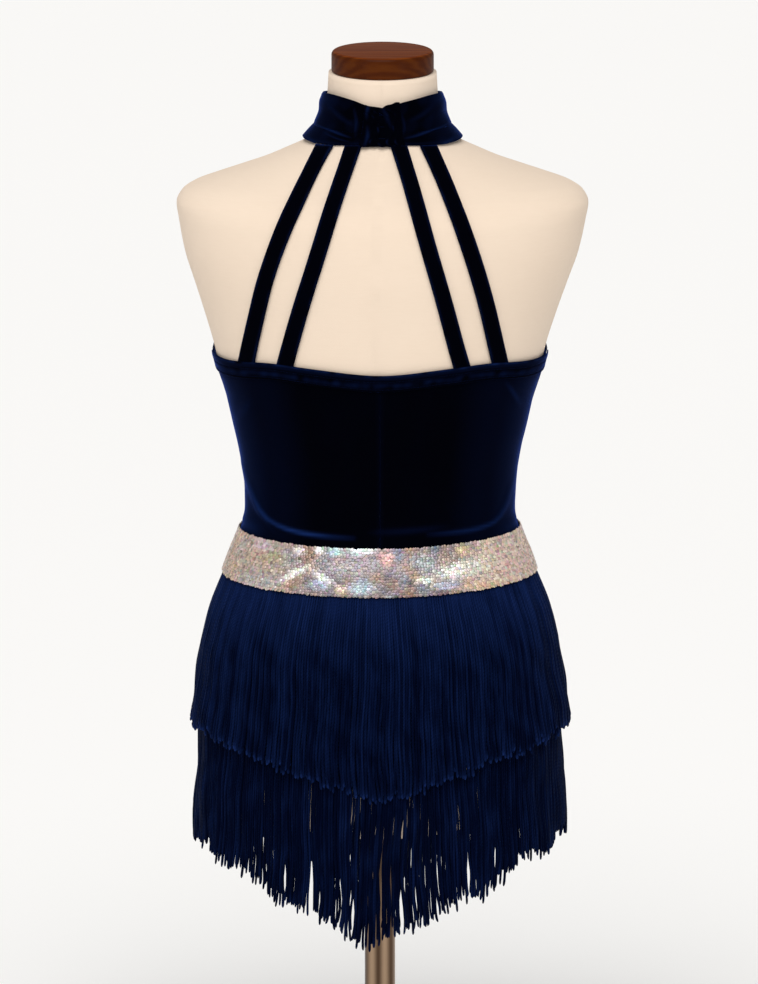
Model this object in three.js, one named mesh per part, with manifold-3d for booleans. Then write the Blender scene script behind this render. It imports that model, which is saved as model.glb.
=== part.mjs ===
// Fringe dance costume on a limbless dress form with a round stand.
//
// Millimetres, +Z up. The origin is the centre of the stand's base, on the floor. -Y is the costume's back, +Y
// its front, and -X the wearer's left. Each cloth piece is a thin wall laid over the form's own surface, so it is
// worked out from the form's sections, a distance out from them, and the edges that it is cut to.

import * as THREE from "three";
import { mergeVertices } from "three/addons/utils/BufferGeometryUtils.js";
import Module from "manifold-3d";

const manifold = await Module();
manifold.setup();

// ---------------------------------------------------------------- driving dimensions

const TOTAL_HEIGHT = 980; // floor to the top of the neck cap

// Cloth layers, measured out from the form's surface.
const FORM_CLEARANCE = 0.7; // form to the first layer of cloth
const SEAM_GAP = 0.3; // between pieces that are sewn together
const PANEL_THICKNESS = 1.5;
const CHEST_STAND_OFF = 0.9; // more for the halter front, which spans the hollows above the bust
const PANEL_OUTSIDE = FORM_CLEARANCE + PANEL_THICKNESS;
const ON_PANEL = PANEL_OUTSIDE + SEAM_GAP;

// Heights above the floor.
const WAIST_SEAM_Z = 520;
const YOKE_Z = 860; // above this the halter front bends to follow the collar
const BACK_EDGE_Z = 698;
const HIP_HEM_Z = 385;
const BELT_TOP_Z = 531;
const BELT_BOTTOM_Z = 489;

const STRAP_PULL = 4; // how far the straps lift the back edge
const STRAP_PULL_X = 100; // where they lift it most
const STRAP_PULL_SPREAD = 34;

const BAND_WIDTH = 13;
const BAND_THICKNESS = 1.2;
const STRAP_WIDTH = 14;
const STRAP_THICKNESS = 2;
const STRAP_CLEARANCE = 1.1;
const BELT_THICKNESS = 2;
const BELT_EASE = 0.3; // more than a seam's gap, because the belt isn't stretched on
const COLLAR_THICKNESS = 2;

const CAP_RADIUS = 47;
const CAP_HEIGHT = 16.5;
const CAP_TOP_ROUND = 4;
const CAP_FOOT_ROUND = 2;

const POLE_RADIUS = 14;
const POLE_SOCKET_DEPTH = 40;
const POLE_FIT = 0.3; // radial clearance in both sockets
const BASE_RADIUS = 165;
const BASE_THICKNESS = 10;
const BASE_EDGE_ROUND = 4;
const BOSS_RADIUS = 23;
const BOSS_HEIGHT = 30;

// Horizontal sections of the bare form, by their depth below the top of the neck cap. Each is a superellipse:
// half its width, its depth behind and before the line of its sides, that line's own place, and its squareness.
const FIGURE = [
  { drop: 16.8, half: 49.5, back: 49, front: 49, middle: 8, square: 2 },
  { drop: 45, half: 51, back: 53, front: 52, middle: 7, square: 2 },
  { drop: 68, half: 54.5, back: 57, front: 56, middle: 5, square: 2 },
  { drop: 75, half: 57.5, back: 60, front: 57, middle: 4, square: 2 },
  { drop: 79, half: 63.5, back: 64, front: 57, middle: 3, square: 2.05 },
  { drop: 85.5, half: 73.5, back: 67, front: 58.7, middle: 1.6, square: 2.1 },
  { drop: 93.5, half: 91.5, back: 69.7, front: 61.4, middle: 0.6, square: 2.15 },
  { drop: 101.5, half: 110.5, back: 72.6, front: 65, middle: 0, square: 2.2 },
  { drop: 108.7, half: 132, back: 76.3, front: 68.8, middle: 0, square: 2.2 },
  { drop: 116.6, half: 155.5, back: 80.6, front: 73, middle: 0, square: 2.25 },
  { drop: 123.5, half: 174, back: 83.8, front: 76.8, middle: 0, square: 2.3 },
  { drop: 131, half: 184.5, back: 87.4, front: 80.4, middle: 0, square: 2.3 },
  { drop: 141, half: 189, back: 91.6, front: 84.8, middle: 0, square: 2.35 },
  { drop: 154, half: 187, back: 96, front: 89, middle: 0, square: 2.4 },
  { drop: 184, half: 181, back: 101, front: 96, middle: 0, square: 2.4 },
  { drop: 214, half: 171, back: 103, front: 101, middle: 0, square: 2.4 },
  { drop: 244, half: 161, back: 103, front: 104, middle: 0, square: 2.4 },
  { drop: 274, half: 152, back: 103, front: 104, middle: 0, square: 2.4 },
  { drop: 290, half: 148.5, back: 102, front: 102, middle: 0, square: 2.4 },
  { drop: 320, half: 139.5, back: 99, front: 97, middle: 0, square: 2.3 },
  { drop: 350, half: 132, back: 94, front: 92, middle: 0, square: 2.25 },
  { drop: 380, half: 126, back: 89, front: 88.5, middle: 0, square: 2.2 },
  { drop: 410, half: 122.5, back: 86, front: 87, middle: 0, square: 2.2 },
  { drop: 428, half: 122, back: 86, front: 87.5, middle: 0, square: 2.2 },
  { drop: 449, half: 126.8, back: 91, front: 89, middle: 0, square: 2.2 },
  { drop: 470, half: 134, back: 100, front: 92, middle: 0, square: 2.2 },
  { drop: 491, half: 141, back: 106, front: 95, middle: 0, square: 2.2 },
  { drop: 515, half: 146, back: 113, front: 98, middle: 0, square: 2.25 },
  { drop: 545, half: 150, back: 118, front: 99, middle: 0, square: 2.3 },
  { drop: 590, half: 154, back: 120, front: 98, middle: 0, square: 2.3 },
  { drop: 635, half: 150, back: 115, front: 94, middle: 0, square: 2.3 },
  { drop: 675, half: 138, back: 103, front: 85, middle: 0, square: 2.25 },
  { drop: 705, half: 116, back: 84, front: 70, middle: 0, square: 2.2 },
  { drop: 722, half: 90, back: 64, front: 54, middle: 0, square: 2.1 },
  { drop: 730, half: 64, back: 46, front: 40, middle: 0, square: 2 },
];

// The form leans a little to the wearer's right, from one height to another.
const LEAN = { x: 2.4, fromZ: 690, toZ: 860 };

// The bust: two soft rises on the front, joined by a shallow bridge.
const BUST = { rise: 17, x: 66, z: 716, spreadX: 38, spreadZ: 44, bridge: 0.72 };

// The halter front's edges, from the underarm to the collar: how far round from the side they lie, in degrees.
const ARMHOLE = [
  { z: 704, fromSide: 0 },
  { z: 709, fromSide: 8 },
  { z: 715, fromSide: 16 },
  { z: 722, fromSide: 24 },
  { z: 731, fromSide: 31 },
  { z: 743, fromSide: 38 },
  { z: 757, fromSide: 44 },
  { z: 780, fromSide: 51 },
  { z: 811, fromSide: 58 },
  { z: 841, fromSide: 63 },
  { z: 852, fromSide: 64 },
  { z: 860, fromSide: 64 },
  { z: 867, fromSide: 62 },
  { z: 875, fromSide: 57 },
  { z: 882, fromSide: 51 },
  { z: 890, fromSide: 43 },
  { z: 897, fromSide: 35 },
];

// The straps' centre lines: where each leaves the back edge and meets the collar, and its bow between them.
const STRAPS = [
  { name: "strap_left_outer", lowerX: -121.5, upperX: -52.5, bow: -10.5 },
  { name: "strap_left_inner", lowerX: -86.5, upperX: -26.2, bow: -1.2 },
  { name: "strap_right_inner", lowerX: 71.8, upperX: 17.5, bow: 1.4 },
  { name: "strap_right_outer", lowerX: 108.6, upperX: 45.5, bow: 6.5 },
];

// The collar's outer face at each share of its height. It flares onto the shoulders and closes in on the neck.
const COLLAR = [
  { share: 0, half: 74, back: 66, front: 63 },
  { share: 0.14, half: 69, back: 64, front: 63.5 },
  { share: 0.28, half: 64, back: 61.5, front: 63.5 },
  { share: 0.44, half: 61.4, back: 59, front: 63 },
  { share: 0.6, half: 59.2, back: 57, front: 62.5 },
  { share: 0.8, half: 58, back: 55.2, front: 61.5 },
  { share: 1, half: 54.6, back: 53.6, front: 59.8 },
];
const COLLAR_MIDDLE_Y = 4;
const COLLAR_SEAM_SHARE = 0.28;
const COLLAR_SEAM_GAP = 0.01; // as a share of the height too
const COLLAR_SEAT_GAP = 1.5; // above the form, where the collar rests on the shoulders
const COLLAR_SIDE_LIFT = 2.6; // more of it at the sides, where the flare stands off them
const COLLAR_OPENING = 1.2; // between the collar's ends at the centre back

// The collar's top edge, by the angle from the centre back in degrees.
const COLLAR_TOP = [
  { fromBack: 0, z: 937 },
  { fromBack: 28, z: 942.5 },
  { fromBack: 55, z: 945 },
  { fromBack: 90, z: 942 },
  { fromBack: 135, z: 935 },
  { fromBack: 180, z: 929 },
];

const CLOSURE_HALF_WIDTH = 16.5;
const CLOSURE_THICKNESS = 2.6;
const CLOSURE_GATHERS = 4;
const CLOSURE_GATHER_RISE = 1.1;

// Soft creases in the bodice's back, each a ridge from one place to another, with its width and its rise.
const CREASES = [
  { fromX: -118, fromZ: 586, toX: -82, toZ: 548, width: 9, rise: 1.6 },
  { fromX: -82, fromZ: 548, toX: -12, toZ: 538, width: 9, rise: 2 },
  { fromX: 118, fromZ: 572, toX: 96, toZ: 540, width: 9, rise: 1.8 },
  { fromX: 92, fromZ: 545, toX: 40, toZ: 538, width: 8, rise: 1.5 },
  { fromX: 112, fromZ: 678, toX: 124, toZ: 660, width: 9, rise: 1.4 },
];

// The two tiers. Each hangs from a tape and swings out over the hips: how far its strands lie outside the
// tape's inner face at each height, and how much they spread, at the sides and the centre, below the last.
const FRINGES = [
  {
    name: "fringe_upper",
    tapeTopZ: 502,
    tapeBottomZ: 491,
    strands: 82,
    tipSideZ: 357,
    tipCentreZ: 302,
    ragged: 3,
    hangs: [
      { z: 492, out: 0.4, width: 3.2, depth: 0.5 },
      { z: 460, out: 5.6, width: 4.8, depth: 3 },
      { z: 425, out: 10.4, width: 4.8, depth: 3 },
    ],
    spreadSide: 0.17,
    spreadCentre: 0.05,
    seed: 11,
  },
  {
    name: "fringe_lower",
    tapeTopZ: 446,
    tapeBottomZ: 435,
    strands: 82,
    tipSideZ: 253,
    tipCentreZ: 167,
    ragged: 7,
    hangs: [
      { z: 436, out: 0.4, width: 3.2, depth: 0.5 },
      { z: 345, out: 13, width: 4.8, depth: 3 },
    ],
    spreadSide: 0.08,
    spreadCentre: 0.04,
    seed: 29,
  },
];
const TAPE_THICKNESS = 1.2;

// Meshes. The form and the cloth on it share their grid's angles and heights, so their facets stay parallel.
const GRID_AROUND = 40;
const LEAST_ROW = 5; // between a cloth piece's edge and the grid's next height
const COLLAR_AROUND = 36;
const CLOSURE_STEPS = [12, 4];

// ---------------------------------------------------------------- finishes

const velvet = finish("#03071c", 0.85, 0);
const sequins = finish("#b8a9a6", 0.3, 0.6);
const chainette = finish("#0a1740", 0.5, 0);
const linen = finish("#efdcc4", 0.9, 0);
const walnut = finish("#5c2c10", 0.35, 0);
const bronze = finish("#9a7a5c", 0.3, 1);

function finish(color, roughness, metalness) {
  return new THREE.MeshStandardMaterial({ color, roughness, metalness });
}

// ---------------------------------------------------------------- curves and surfaces

const mix = THREE.MathUtils.lerp;
const clamp = THREE.MathUtils.clamp;
const BACK_ANGLE = -Math.PI / 2; // the centre back; 0 and PI are the sides, PI / 2 the centre front
const RING_HEIGHTS = FIGURE.map(({ drop }) => TOTAL_HEIGHT - drop);
const SEAM_ANGLE = SEAM_GAP / 2 / 125; // half a seam's gap, as an angle at the sides and the centre back

/** A function through a table's rows, from one column to another: monotone cubics, level past the ends. */
function curveThrough(rows, from, to) {
  const sorted = [...rows].sort((a, b) => a[from] - b[from]);
  const xs = sorted.map((row) => row[from]);
  const ys = sorted.map((row) => row[to]);
  const slopes = xs.slice(1).map((x, i) => (ys[i + 1] - ys[i]) / (x - xs[i]));
  const tangents = xs.map((_, i) => {
    const before = slopes[Math.max(i - 1, 0)];
    const after = slopes[Math.min(i, slopes.length - 1)];
    return before * after <= 0 ? 0 : (2 * before * after) / (before + after);
  });
  return (x) => {
    if (x <= xs[0]) return ys[0];
    if (x >= xs.at(-1)) return ys.at(-1);
    const i = xs.findIndex((edge) => edge > x) - 1;
    const span = xs[i + 1] - xs[i];
    const t = (x - xs[i]) / span;
    const rise = ys[i] * (1 + 2 * t) * (1 - t) ** 2 + ys[i + 1] * t * t * (3 - 2 * t);
    return rise + span * (tangents[i] * t * (1 - t) ** 2 - tangents[i + 1] * t * t * (1 - t));
  };
}

/** A table of sections as one function that gives every column at a place. */
function sectionsThrough(rows, from) {
  const columns = Object.keys(rows[0]).filter((key) => key !== from);
  const curves = columns.map((key) => [key, curveThrough(rows, from, key)]);
  return (x) => Object.fromEntries(curves.map(([key, curve]) => [key, curve(x)]));
}

const figureByDrop = sectionsThrough(FIGURE, "drop");
const leanAt = (z) => LEAN.x * THREE.MathUtils.smoothstep(z, LEAN.fromZ, LEAN.toZ);
const figureAt = (z) => ({ ...figureByDrop(TOTAL_HEIGHT - z), centre: leanAt(z) });
const collarAt = sectionsThrough(COLLAR, "share");
const collarTopCurve = curveThrough(COLLAR_TOP, "fromBack", "z");

/** The point of a section at an angle: [x, y]. */
function onSection({ half, back, front, centre, middle, square = 2 }, angle) {
  const power = 2 / square;
  const across = Math.sign(Math.cos(angle)) * Math.abs(Math.cos(angle)) ** power;
  const along = Math.sign(Math.sin(angle)) * Math.abs(Math.sin(angle)) ** power;
  return [centre + half * across, middle + (along < 0 ? back : front) * along];
}

/** How far out a point lies in a section: 1 on its edge, less inside. */
function shareOfSection({ half, back, front, centre, middle, square = 2 }, x, y) {
  const depth = y < middle ? back : front;
  return (Math.abs((x - centre) / half) ** square + Math.abs((y - middle) / depth) ** square) ** (1 / square);
}

/** The angle on the back of the form at which its surface has this x. */
function backAngleAt(x, z) {
  const { half, centre, square } = figureAt(z);
  const across = Math.sign(x - centre) * clamp(Math.abs(x - centre) / half, 0, 1) ** (square / 2);
  return -Math.acos(across);
}

/** How far the bust lifts the front at a place. */
function bustRise(x, z) {
  const beyond = Math.abs(x) - BUST.x;
  const side = Math.exp(-((beyond / BUST.spreadX) ** 2) / 2);
  const across = beyond < 0 ? Math.max(side, mix(BUST.bridge, 1, (x / BUST.x) ** 2)) : side;
  return BUST.rise * across * Math.exp(-(((z - BUST.z) / BUST.spreadZ) ** 2) / 2);
}

/** A point of the bare form's surface. */
function onForm(angle, z) {
  const [x, y] = onSection(figureAt(z), angle);
  const lift = Math.sin(angle) > 0 ? bustRise(x, z) * Math.sin(angle) : 0;
  return new THREE.Vector3(x, y + lift, z);
}

/** A point a distance out from the form's surface, along its normal. */
function offForm(angle, z, out) {
  const step = 0.02;
  const rise = 1;
  const around = onForm(angle + step, z).sub(onForm(angle - step, z));
  const up = onForm(angle, z + rise).sub(onForm(angle, z - rise));
  return onForm(angle, z).addScaledVector(around.cross(up).normalize(), out);
}

/** Values from one to another in equal steps. */
const evenly = (from, to, steps) => Array.from({ length: steps + 1 }, (_, i) => mix(from, to, i / steps));

/** The grid's angles between two of them, moved in at both ends by half a seam's gap. */
function anglesBetween(from, to, perCell = 1) {
  const steps = Math.round(((to - from) / (2 * Math.PI)) * GRID_AROUND * perCell);
  return evenly(from, to, steps).map((angle) => clamp(angle, from + SEAM_ANGLE, to - SEAM_ANGLE));
}

/** Two heights and the form's own between them. */
function heightsBetween(low, high) {
  const between = RING_HEIGHTS.filter((z) => z > low + LEAST_ROW && z < high - LEAST_ROW);
  return [low, ...between.sort((a, b) => a - b), high];
}

/** The value between low and high at which a test that is false at low turns true. */
function turningPoint(low, high, test) {
  for (let i = 0; i < 30; i++) {
    const middle = (low + high) / 2;
    if (test(middle)) high = middle;
    else low = middle;
  }
  return (low + high) / 2;
}

/** One of the collar's sections, moved out. */
function collarSection({ half, back, front }, out) {
  return { half: half + out, back: back + out, front: front + out, centre: LEAN.x, middle: COLLAR_MIDDLE_Y };
}

const collarFoot = collarSection(collarAt(0), 0);
const NECK_SEARCH = [855, 915]; // heights between which the form narrows from the shoulders to the neck

/** The height at which the form's surface passes a place at the foot of the neck. */
function seatHeight(x, y) {
  return turningPoint(...NECK_SEARCH, (z) => shareOfSection(figureAt(z), x, y) > 1);
}

/** Whether a point has come in as far as the collar's foot, but for the gap at its seam. */
const atCollarFoot = ({ x, y }) => shareOfSection(collarFoot, x, y) < 1 + (2 * SEAM_GAP) / collarFoot.half;

/** The height at which the form's surface, at an angle, runs in under the collar's foot. */
const neckSeamHeight = (angle) => turningPoint(...NECK_SEARCH, (z) => atCollarFoot(onForm(angle, z)));

/** The height of the bodice back's top edge, lifted a little where the straps pull. */
function backEdgeHeight(x) {
  const away = (Math.abs(x) - STRAP_PULL_X) / STRAP_PULL_SPREAD;
  return BACK_EDGE_Z + STRAP_PULL * Math.exp(-(away ** 2));
}

/** How far the creases lift the back's cloth at a place. */
function creaseRise(x, z) {
  const aboveBelt = THREE.MathUtils.smoothstep(z, BELT_TOP_Z + 3, BELT_TOP_Z + 15);
  return aboveBelt * CREASES.reduce((sum, { fromX, fromZ, toX, toZ, width, rise }) => {
    const along = new THREE.Vector2(toX - fromX, toZ - fromZ);
    const place = new THREE.Vector2(x - fromX, z - fromZ);
    const share = clamp(place.dot(along) / along.lengthSq(), 0, 1);
    const away = place.addScaledVector(along, -share).length();
    return sum + rise * Math.sin(Math.PI * clamp(share, 0.15, 0.85)) * Math.exp(-((away / width) ** 2));
  }, 0);
}

// ---------------------------------------------------------------- solids

/** A closed geometry from points and triangles, turned so that its faces point out. */
function closedGeometry(points, triangles) {
  const volume = triangles.reduce((sum, [a, b, c]) => {
    return sum + points[a].dot(new THREE.Vector3().crossVectors(points[b], points[c]));
  }, 0);
  const outward = volume < 0 ? triangles.map(([a, b, c]) => [a, c, b]) : triangles;
  const geometry = new THREE.BufferGeometry().setFromPoints(points);
  geometry.setIndex(outward.flat());
  return geometry;
}

/** The two triangles of a four-sided face. */
const quad = (a, b, c, d) => [
  [a, b, c],
  [a, c, d],
];

/**
 * A wall between an inner and an outer sheet of points, pointAt(column, row, layer), with layer 0 inside and 1
 * outside. A ring joins its last column to its first.
 */
function wall(columns, rows, pointAt, ring = false) {
  const sheet = (layer) => columns.flatMap((column) => rows.map((row) => pointAt(column, row, layer)));
  const across = ring ? columns.length : columns.length - 1;
  const along = rows.length - 1;
  const at = (i, j, layer) => (layer * columns.length + (i % columns.length)) * rows.length + j;
  const faces = [];
  for (let i = 0; i < across; i++) {
    for (let j = 0; j < along; j++) {
      faces.push(...quad(at(i, j, 1), at(i + 1, j, 1), at(i + 1, j + 1, 1), at(i, j + 1, 1)));
      faces.push(...quad(at(i, j, 0), at(i, j + 1, 0), at(i + 1, j + 1, 0), at(i + 1, j, 0)));
    }
    faces.push(...quad(at(i, 0, 0), at(i + 1, 0, 0), at(i + 1, 0, 1), at(i, 0, 1)));
    faces.push(...quad(at(i, along, 0), at(i, along, 1), at(i + 1, along, 1), at(i + 1, along, 0)));
  }
  if (!ring)
    for (let j = 0; j < along; j++) {
      faces.push(...quad(at(0, j, 0), at(0, j, 1), at(0, j + 1, 1), at(0, j + 1, 0)));
      faces.push(...quad(at(across, j, 0), at(across, j + 1, 0), at(across, j + 1, 1), at(across, j, 1)));
    }
  return closedGeometry([...sheet(0), ...sheet(1)], faces);
}

/** A solid through rings of points, closed by a flat fan at each end. */
function loft(rings) {
  const count = rings[0].length;
  const points = rings.flat();
  const faces = [];
  for (let r = 0; r + 1 < rings.length; r++)
    for (let i = 0; i < count; i++) {
      const next = (i + 1) % count;
      faces.push(...quad(r * count + i, r * count + next, (r + 1) * count + next, (r + 1) * count + i));
    }
  for (const [ring, first, turned] of [
    [rings[0], 0, true],
    [rings.at(-1), (rings.length - 1) * count, false],
  ]) {
    const middle = ring.reduce((sum, point) => sum.add(point), new THREE.Vector3()).divideScalar(count);
    const centre = points.push(middle) - 1;
    for (let i = 0; i < count; i++) {
      const edge = [first + i, first + ((i + 1) % count)];
      faces.push(turned ? [edge[1], edge[0], centre] : [edge[0], edge[1], centre]);
    }
  }
  return closedGeometry(points, faces);
}

/** A three.js geometry as a manifold-3d solid. */
function toSolid(geometry) {
  const bare = new THREE.BufferGeometry().setAttribute("position", geometry.getAttribute("position"));
  if (geometry.index) bare.setIndex(geometry.index);
  const merged = mergeVertices(bare, 1e-4);
  return new manifold.Manifold(
    new manifold.Mesh({
      numProp: 3,
      vertProperties: merged.getAttribute("position").array,
      triVerts: new Uint32Array(merged.index.array),
    }),
  );
}

/** A manifold-3d solid as a three.js geometry. */
function toGeometry(solid) {
  const { vertProperties, triVerts } = solid.getMesh();
  const geometry = new THREE.BufferGeometry();
  geometry.setAttribute("position", new THREE.BufferAttribute(new Float32Array(vertProperties), 3));
  geometry.setIndex(new THREE.BufferAttribute(new Uint32Array(triVerts), 1));
  return geometry;
}

/** A turned solid about the Z axis from its profile: [radius, height] pairs. */
function turned(profile, segments) {
  const points = profile.map(([radius, height]) => new THREE.Vector2(radius, height));
  return new THREE.LatheGeometry(points, segments).rotateX(Math.PI / 2);
}

/** The points of a quarter round between two directions, in turns of a right angle, about a centre. */
function quarterRound([centreX, centreZ], radius, fromQuarter, steps = 2) {
  return Array.from({ length: steps + 1 }, (_, i) => {
    const angle = (fromQuarter + i / steps) * (Math.PI / 2);
    return [centreX + radius * Math.cos(angle), centreZ + radius * Math.sin(angle)];
  });
}

/** Numbers between -1 and 1 that are the same on each run. */
function seededNoise(seed) {
  let state = seed;
  return () => {
    state = (state * 1103515245 + 12345) % 2147483648;
    return (state / 1073741824) - 1;
  };
}

// ---------------------------------------------------------------- dress form

const TORSO_BOTTOM_Z = RING_HEIGHTS.at(-1);

function formTorso() {
  const angles = evenly(0, 2 * Math.PI, GRID_AROUND).slice(1);
  const rings = RING_HEIGHTS.map((z) => angles.map((angle) => onForm(angle, z)));
  const socket = turned(
    [
      [0, TORSO_BOTTOM_Z - 10],
      [POLE_RADIUS + POLE_FIT, TORSO_BOTTOM_Z - 10],
      [POLE_RADIUS + POLE_FIT, TORSO_BOTTOM_Z + POLE_SOCKET_DEPTH],
      [0, TORSO_BOTTOM_Z + POLE_SOCKET_DEPTH],
    ],
    24,
  );
  return toGeometry(toSolid(loft(rings)).subtract(toSolid(socket)));
}

function neckCap() {
  const foot = TOTAL_HEIGHT - CAP_HEIGHT;
  return turned(
    [
      [0, foot],
      ...quarterRound([CAP_RADIUS - CAP_FOOT_ROUND, foot + CAP_FOOT_ROUND], CAP_FOOT_ROUND, 3),
      ...quarterRound([CAP_RADIUS - CAP_TOP_ROUND, TOTAL_HEIGHT - CAP_TOP_ROUND], CAP_TOP_ROUND, 0),
      [0, TOTAL_HEIGHT],
    ],
    36,
  );
}

function pole() {
  const top = TORSO_BOTTOM_Z + POLE_SOCKET_DEPTH - SEAM_GAP;
  const foot = BASE_THICKNESS + SEAM_GAP;
  return turned(
    [
      [0, foot],
      [POLE_RADIUS, foot],
      [POLE_RADIUS, top],
      [0, top],
    ],
    24,
  );
}

function standBase() {
  const bore = POLE_RADIUS + POLE_FIT;
  const bossTop = BASE_THICKNESS + BOSS_HEIGHT;
  const edgeCentre = [BASE_RADIUS - BASE_EDGE_ROUND, BASE_THICKNESS - BASE_EDGE_ROUND];
  return turned(
    [
      [0, 0],
      [BASE_RADIUS, 0],
      ...quarterRound(edgeCentre, BASE_EDGE_ROUND, 0),
      [BOSS_RADIUS, BASE_THICKNESS],
      [BOSS_RADIUS, bossTop],
      [bore, bossTop],
      [bore, BASE_THICKNESS],
      [0, BASE_THICKNESS],
    ],
    40,
  );
}

// ---------------------------------------------------------------- bodice

/** One half of the bodice's back, between two angles, from the waist seam to the top edge. */
function backPanel(fromAngle, toAngle) {
  const columns = anglesBetween(fromAngle, toAngle, 2);
  return wall(columns, heightsBetween(WAIST_SEAM_Z, BACK_EDGE_Z), (angle, row, layer) => {
    const { x } = onForm(angle, row);
    const z = row === BACK_EDGE_Z ? backEdgeHeight(x) : row;
    return offForm(angle, z, FORM_CLEARANCE + creaseRise(x, z) + layer * PANEL_THICKNESS);
  });
}

/**
 * The halter front. Below the underarm it runs from side seam to side seam, above it between the armholes, where
 * it stands a little further off the form, and towards the collar its rows bend to end along the collar's foot.
 */
function bodiceFront() {
  const [underarm, ...upper] = ARMHOLE;
  const lower = heightsBetween(WAIST_SEAM_Z, underarm.z).map((z) => ({ z, fromSide: 0 }));
  const columns = evenly(0, 1, GRID_AROUND / 2);
  return wall(columns, [...lower, ...upper], (across, { z: rowZ, fromSide }, layer) => {
    const edge = Math.max(THREE.MathUtils.degToRad(fromSide), SEAM_ANGLE);
    const angle = mix(edge, Math.PI - edge, across);
    const bend = Math.max(0, rowZ - YOKE_Z) / (ARMHOLE.at(-1).z - YOKE_Z);
    const z = bend > 0 ? mix(YOKE_Z, neckSeamHeight(angle), bend) : rowZ;
    const standOff = CHEST_STAND_OFF * THREE.MathUtils.smoothstep(rowZ, underarm.z - 45, underarm.z);
    return offForm(angle, z, FORM_CLEARANCE + standOff + layer * PANEL_THICKNESS);
  });
}

/** The stitched band along the back's top edge, laid on both back panels. */
function backEdgeBand() {
  return wall(anglesBetween(-Math.PI, 0, 2), [BAND_WIDTH, 0], (angle, below, layer) => {
    const { x } = onForm(angle, BACK_EDGE_Z);
    const z = backEdgeHeight(x) - below;
    return offForm(angle, z, ON_PANEL + creaseRise(x, z) + layer * BAND_THICKNESS);
  });
}

/** One strap, flat on the form from the back edge to the collar's foot. */
function strap({ lowerX, upperX, bow }) {
  const lowerZ = BACK_EDGE_Z;
  const footX = (upperX - collarFoot.centre) / collarFoot.half;
  const upperZ = seatHeight(upperX, -Math.sqrt(1 - footX ** 2) * collarFoot.back);
  const rows = heightsBetween(lowerZ, upperZ);
  return wall([-0.5, 0, 0.5], rows, (side, row, layer) => {
    const along = (row - lowerZ) / (upperZ - lowerZ);
    const slope = (upperX - lowerX + bow * 4 * (1 - 2 * along)) / (upperZ - lowerZ);
    const centreX = mix(lowerX, upperX, along) + bow * 4 * along * (1 - along);
    const x = centreX + side * STRAP_WIDTH * Math.hypot(1, slope);
    const topZ = turningPoint(...NECK_SEARCH, (z) => atCollarFoot(onForm(backAngleAt(x, z), z)));
    const z = row === lowerZ ? backEdgeHeight(x) + SEAM_GAP : row === upperZ ? topZ : Math.min(row, topZ - 1);
    return offForm(backAngleAt(x, z), z, STRAP_CLEARANCE + layer * STRAP_THICKNESS);
  });
}

// ---------------------------------------------------------------- collar

/** The height of the collar's top edge at an angle. */
function collarTop(angle) {
  const fromBack = THREE.MathUtils.radToDeg(Math.abs(Math.asin(Math.cos(angle))));
  return collarTopCurve(Math.sin(angle) < 0 ? fromBack : 180 - fromBack);
}

/** A point of the collar at an angle and a share of its height, a distance out from its outer face. */
function onCollar(angle, share, out) {
  const { half, back, front } = collarAt(share);
  const [footX, footY] = onSection(collarSection(collarAt(0), Math.min(out, 0)), angle);
  const [x, y] = onSection(collarSection({ half, back, front }, out), angle);
  const lift = COLLAR_SEAT_GAP + COLLAR_SIDE_LIFT * Math.cos(angle) ** 4;
  return new THREE.Vector3(x, y, mix(seatHeight(footX, footY) + lift, collarTop(angle), share));
}

/** A strip of the collar through shares of its height, open at the centre back. */
function collarStrip(shares) {
  const gap = COLLAR_OPENING / (2 * COLLAR[0].half);
  const angles = evenly(BACK_ANGLE + gap, BACK_ANGLE + 2 * Math.PI - gap, COLLAR_AROUND);
  const pointAt = (angle, share, layer) => onCollar(angle, share, (layer - 1) * COLLAR_THICKNESS);
  return wall(angles, shares, pointAt);
}

/** The gathered tab over the collar's ends. Its gathers fade towards its edges. */
function collarClosure() {
  const reach = CLOSURE_HALF_WIDTH / COLLAR[2].half;
  const [across, along] = CLOSURE_STEPS;
  return wall(evenly(0, 1, across), evenly(0.03, 0.97, along), (u, share, layer) => {
    const gather = Math.cos(CLOSURE_GATHERS * 2 * Math.PI * u) * Math.sin(Math.PI * u) * CLOSURE_GATHER_RISE;
    const swell = CLOSURE_THICKNESS * (0.55 + 0.45 * Math.sin(Math.PI * u)) + gather;
    return onCollar(BACK_ANGLE + mix(-reach, reach, u), share, SEAM_GAP + layer * swell);
  });
}

// ---------------------------------------------------------------- hips, belt and fringe

/** One half of the lower body, under the fringe. */
function hipPanel(fromAngle, toAngle) {
  const rows = heightsBetween(HIP_HEM_Z, WAIST_SEAM_Z - SEAM_GAP);
  return wall(anglesBetween(fromAngle, toAngle), rows, (angle, z, layer) => {
    return offForm(angle, z, FORM_CLEARANCE + layer * PANEL_THICKNESS);
  });
}

const gridAngles = evenly(0, 2 * Math.PI, GRID_AROUND).slice(1);

/** The belt: its top edge lies on the bodice and its foot over the upper fringe's tape. */
function sequinBelt() {
  const overTape = TAPE_THICKNESS + SEAM_GAP;
  const easedZ = FRINGES[0].tapeTopZ + 1;
  const rows = [BELT_BOTTOM_Z, easedZ, (easedZ + BELT_TOP_Z) / 2, BELT_TOP_Z];
  const pointAt = (angle, z, layer) => {
    const easing = clamp((BELT_TOP_Z - z) / (BELT_TOP_Z - easedZ), 0, 1);
    return offForm(angle, z, ON_PANEL + BELT_EASE + easing * overTape + layer * BELT_THICKNESS);
  };
  return wall(gridAngles, rows, pointAt, true);
}

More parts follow.
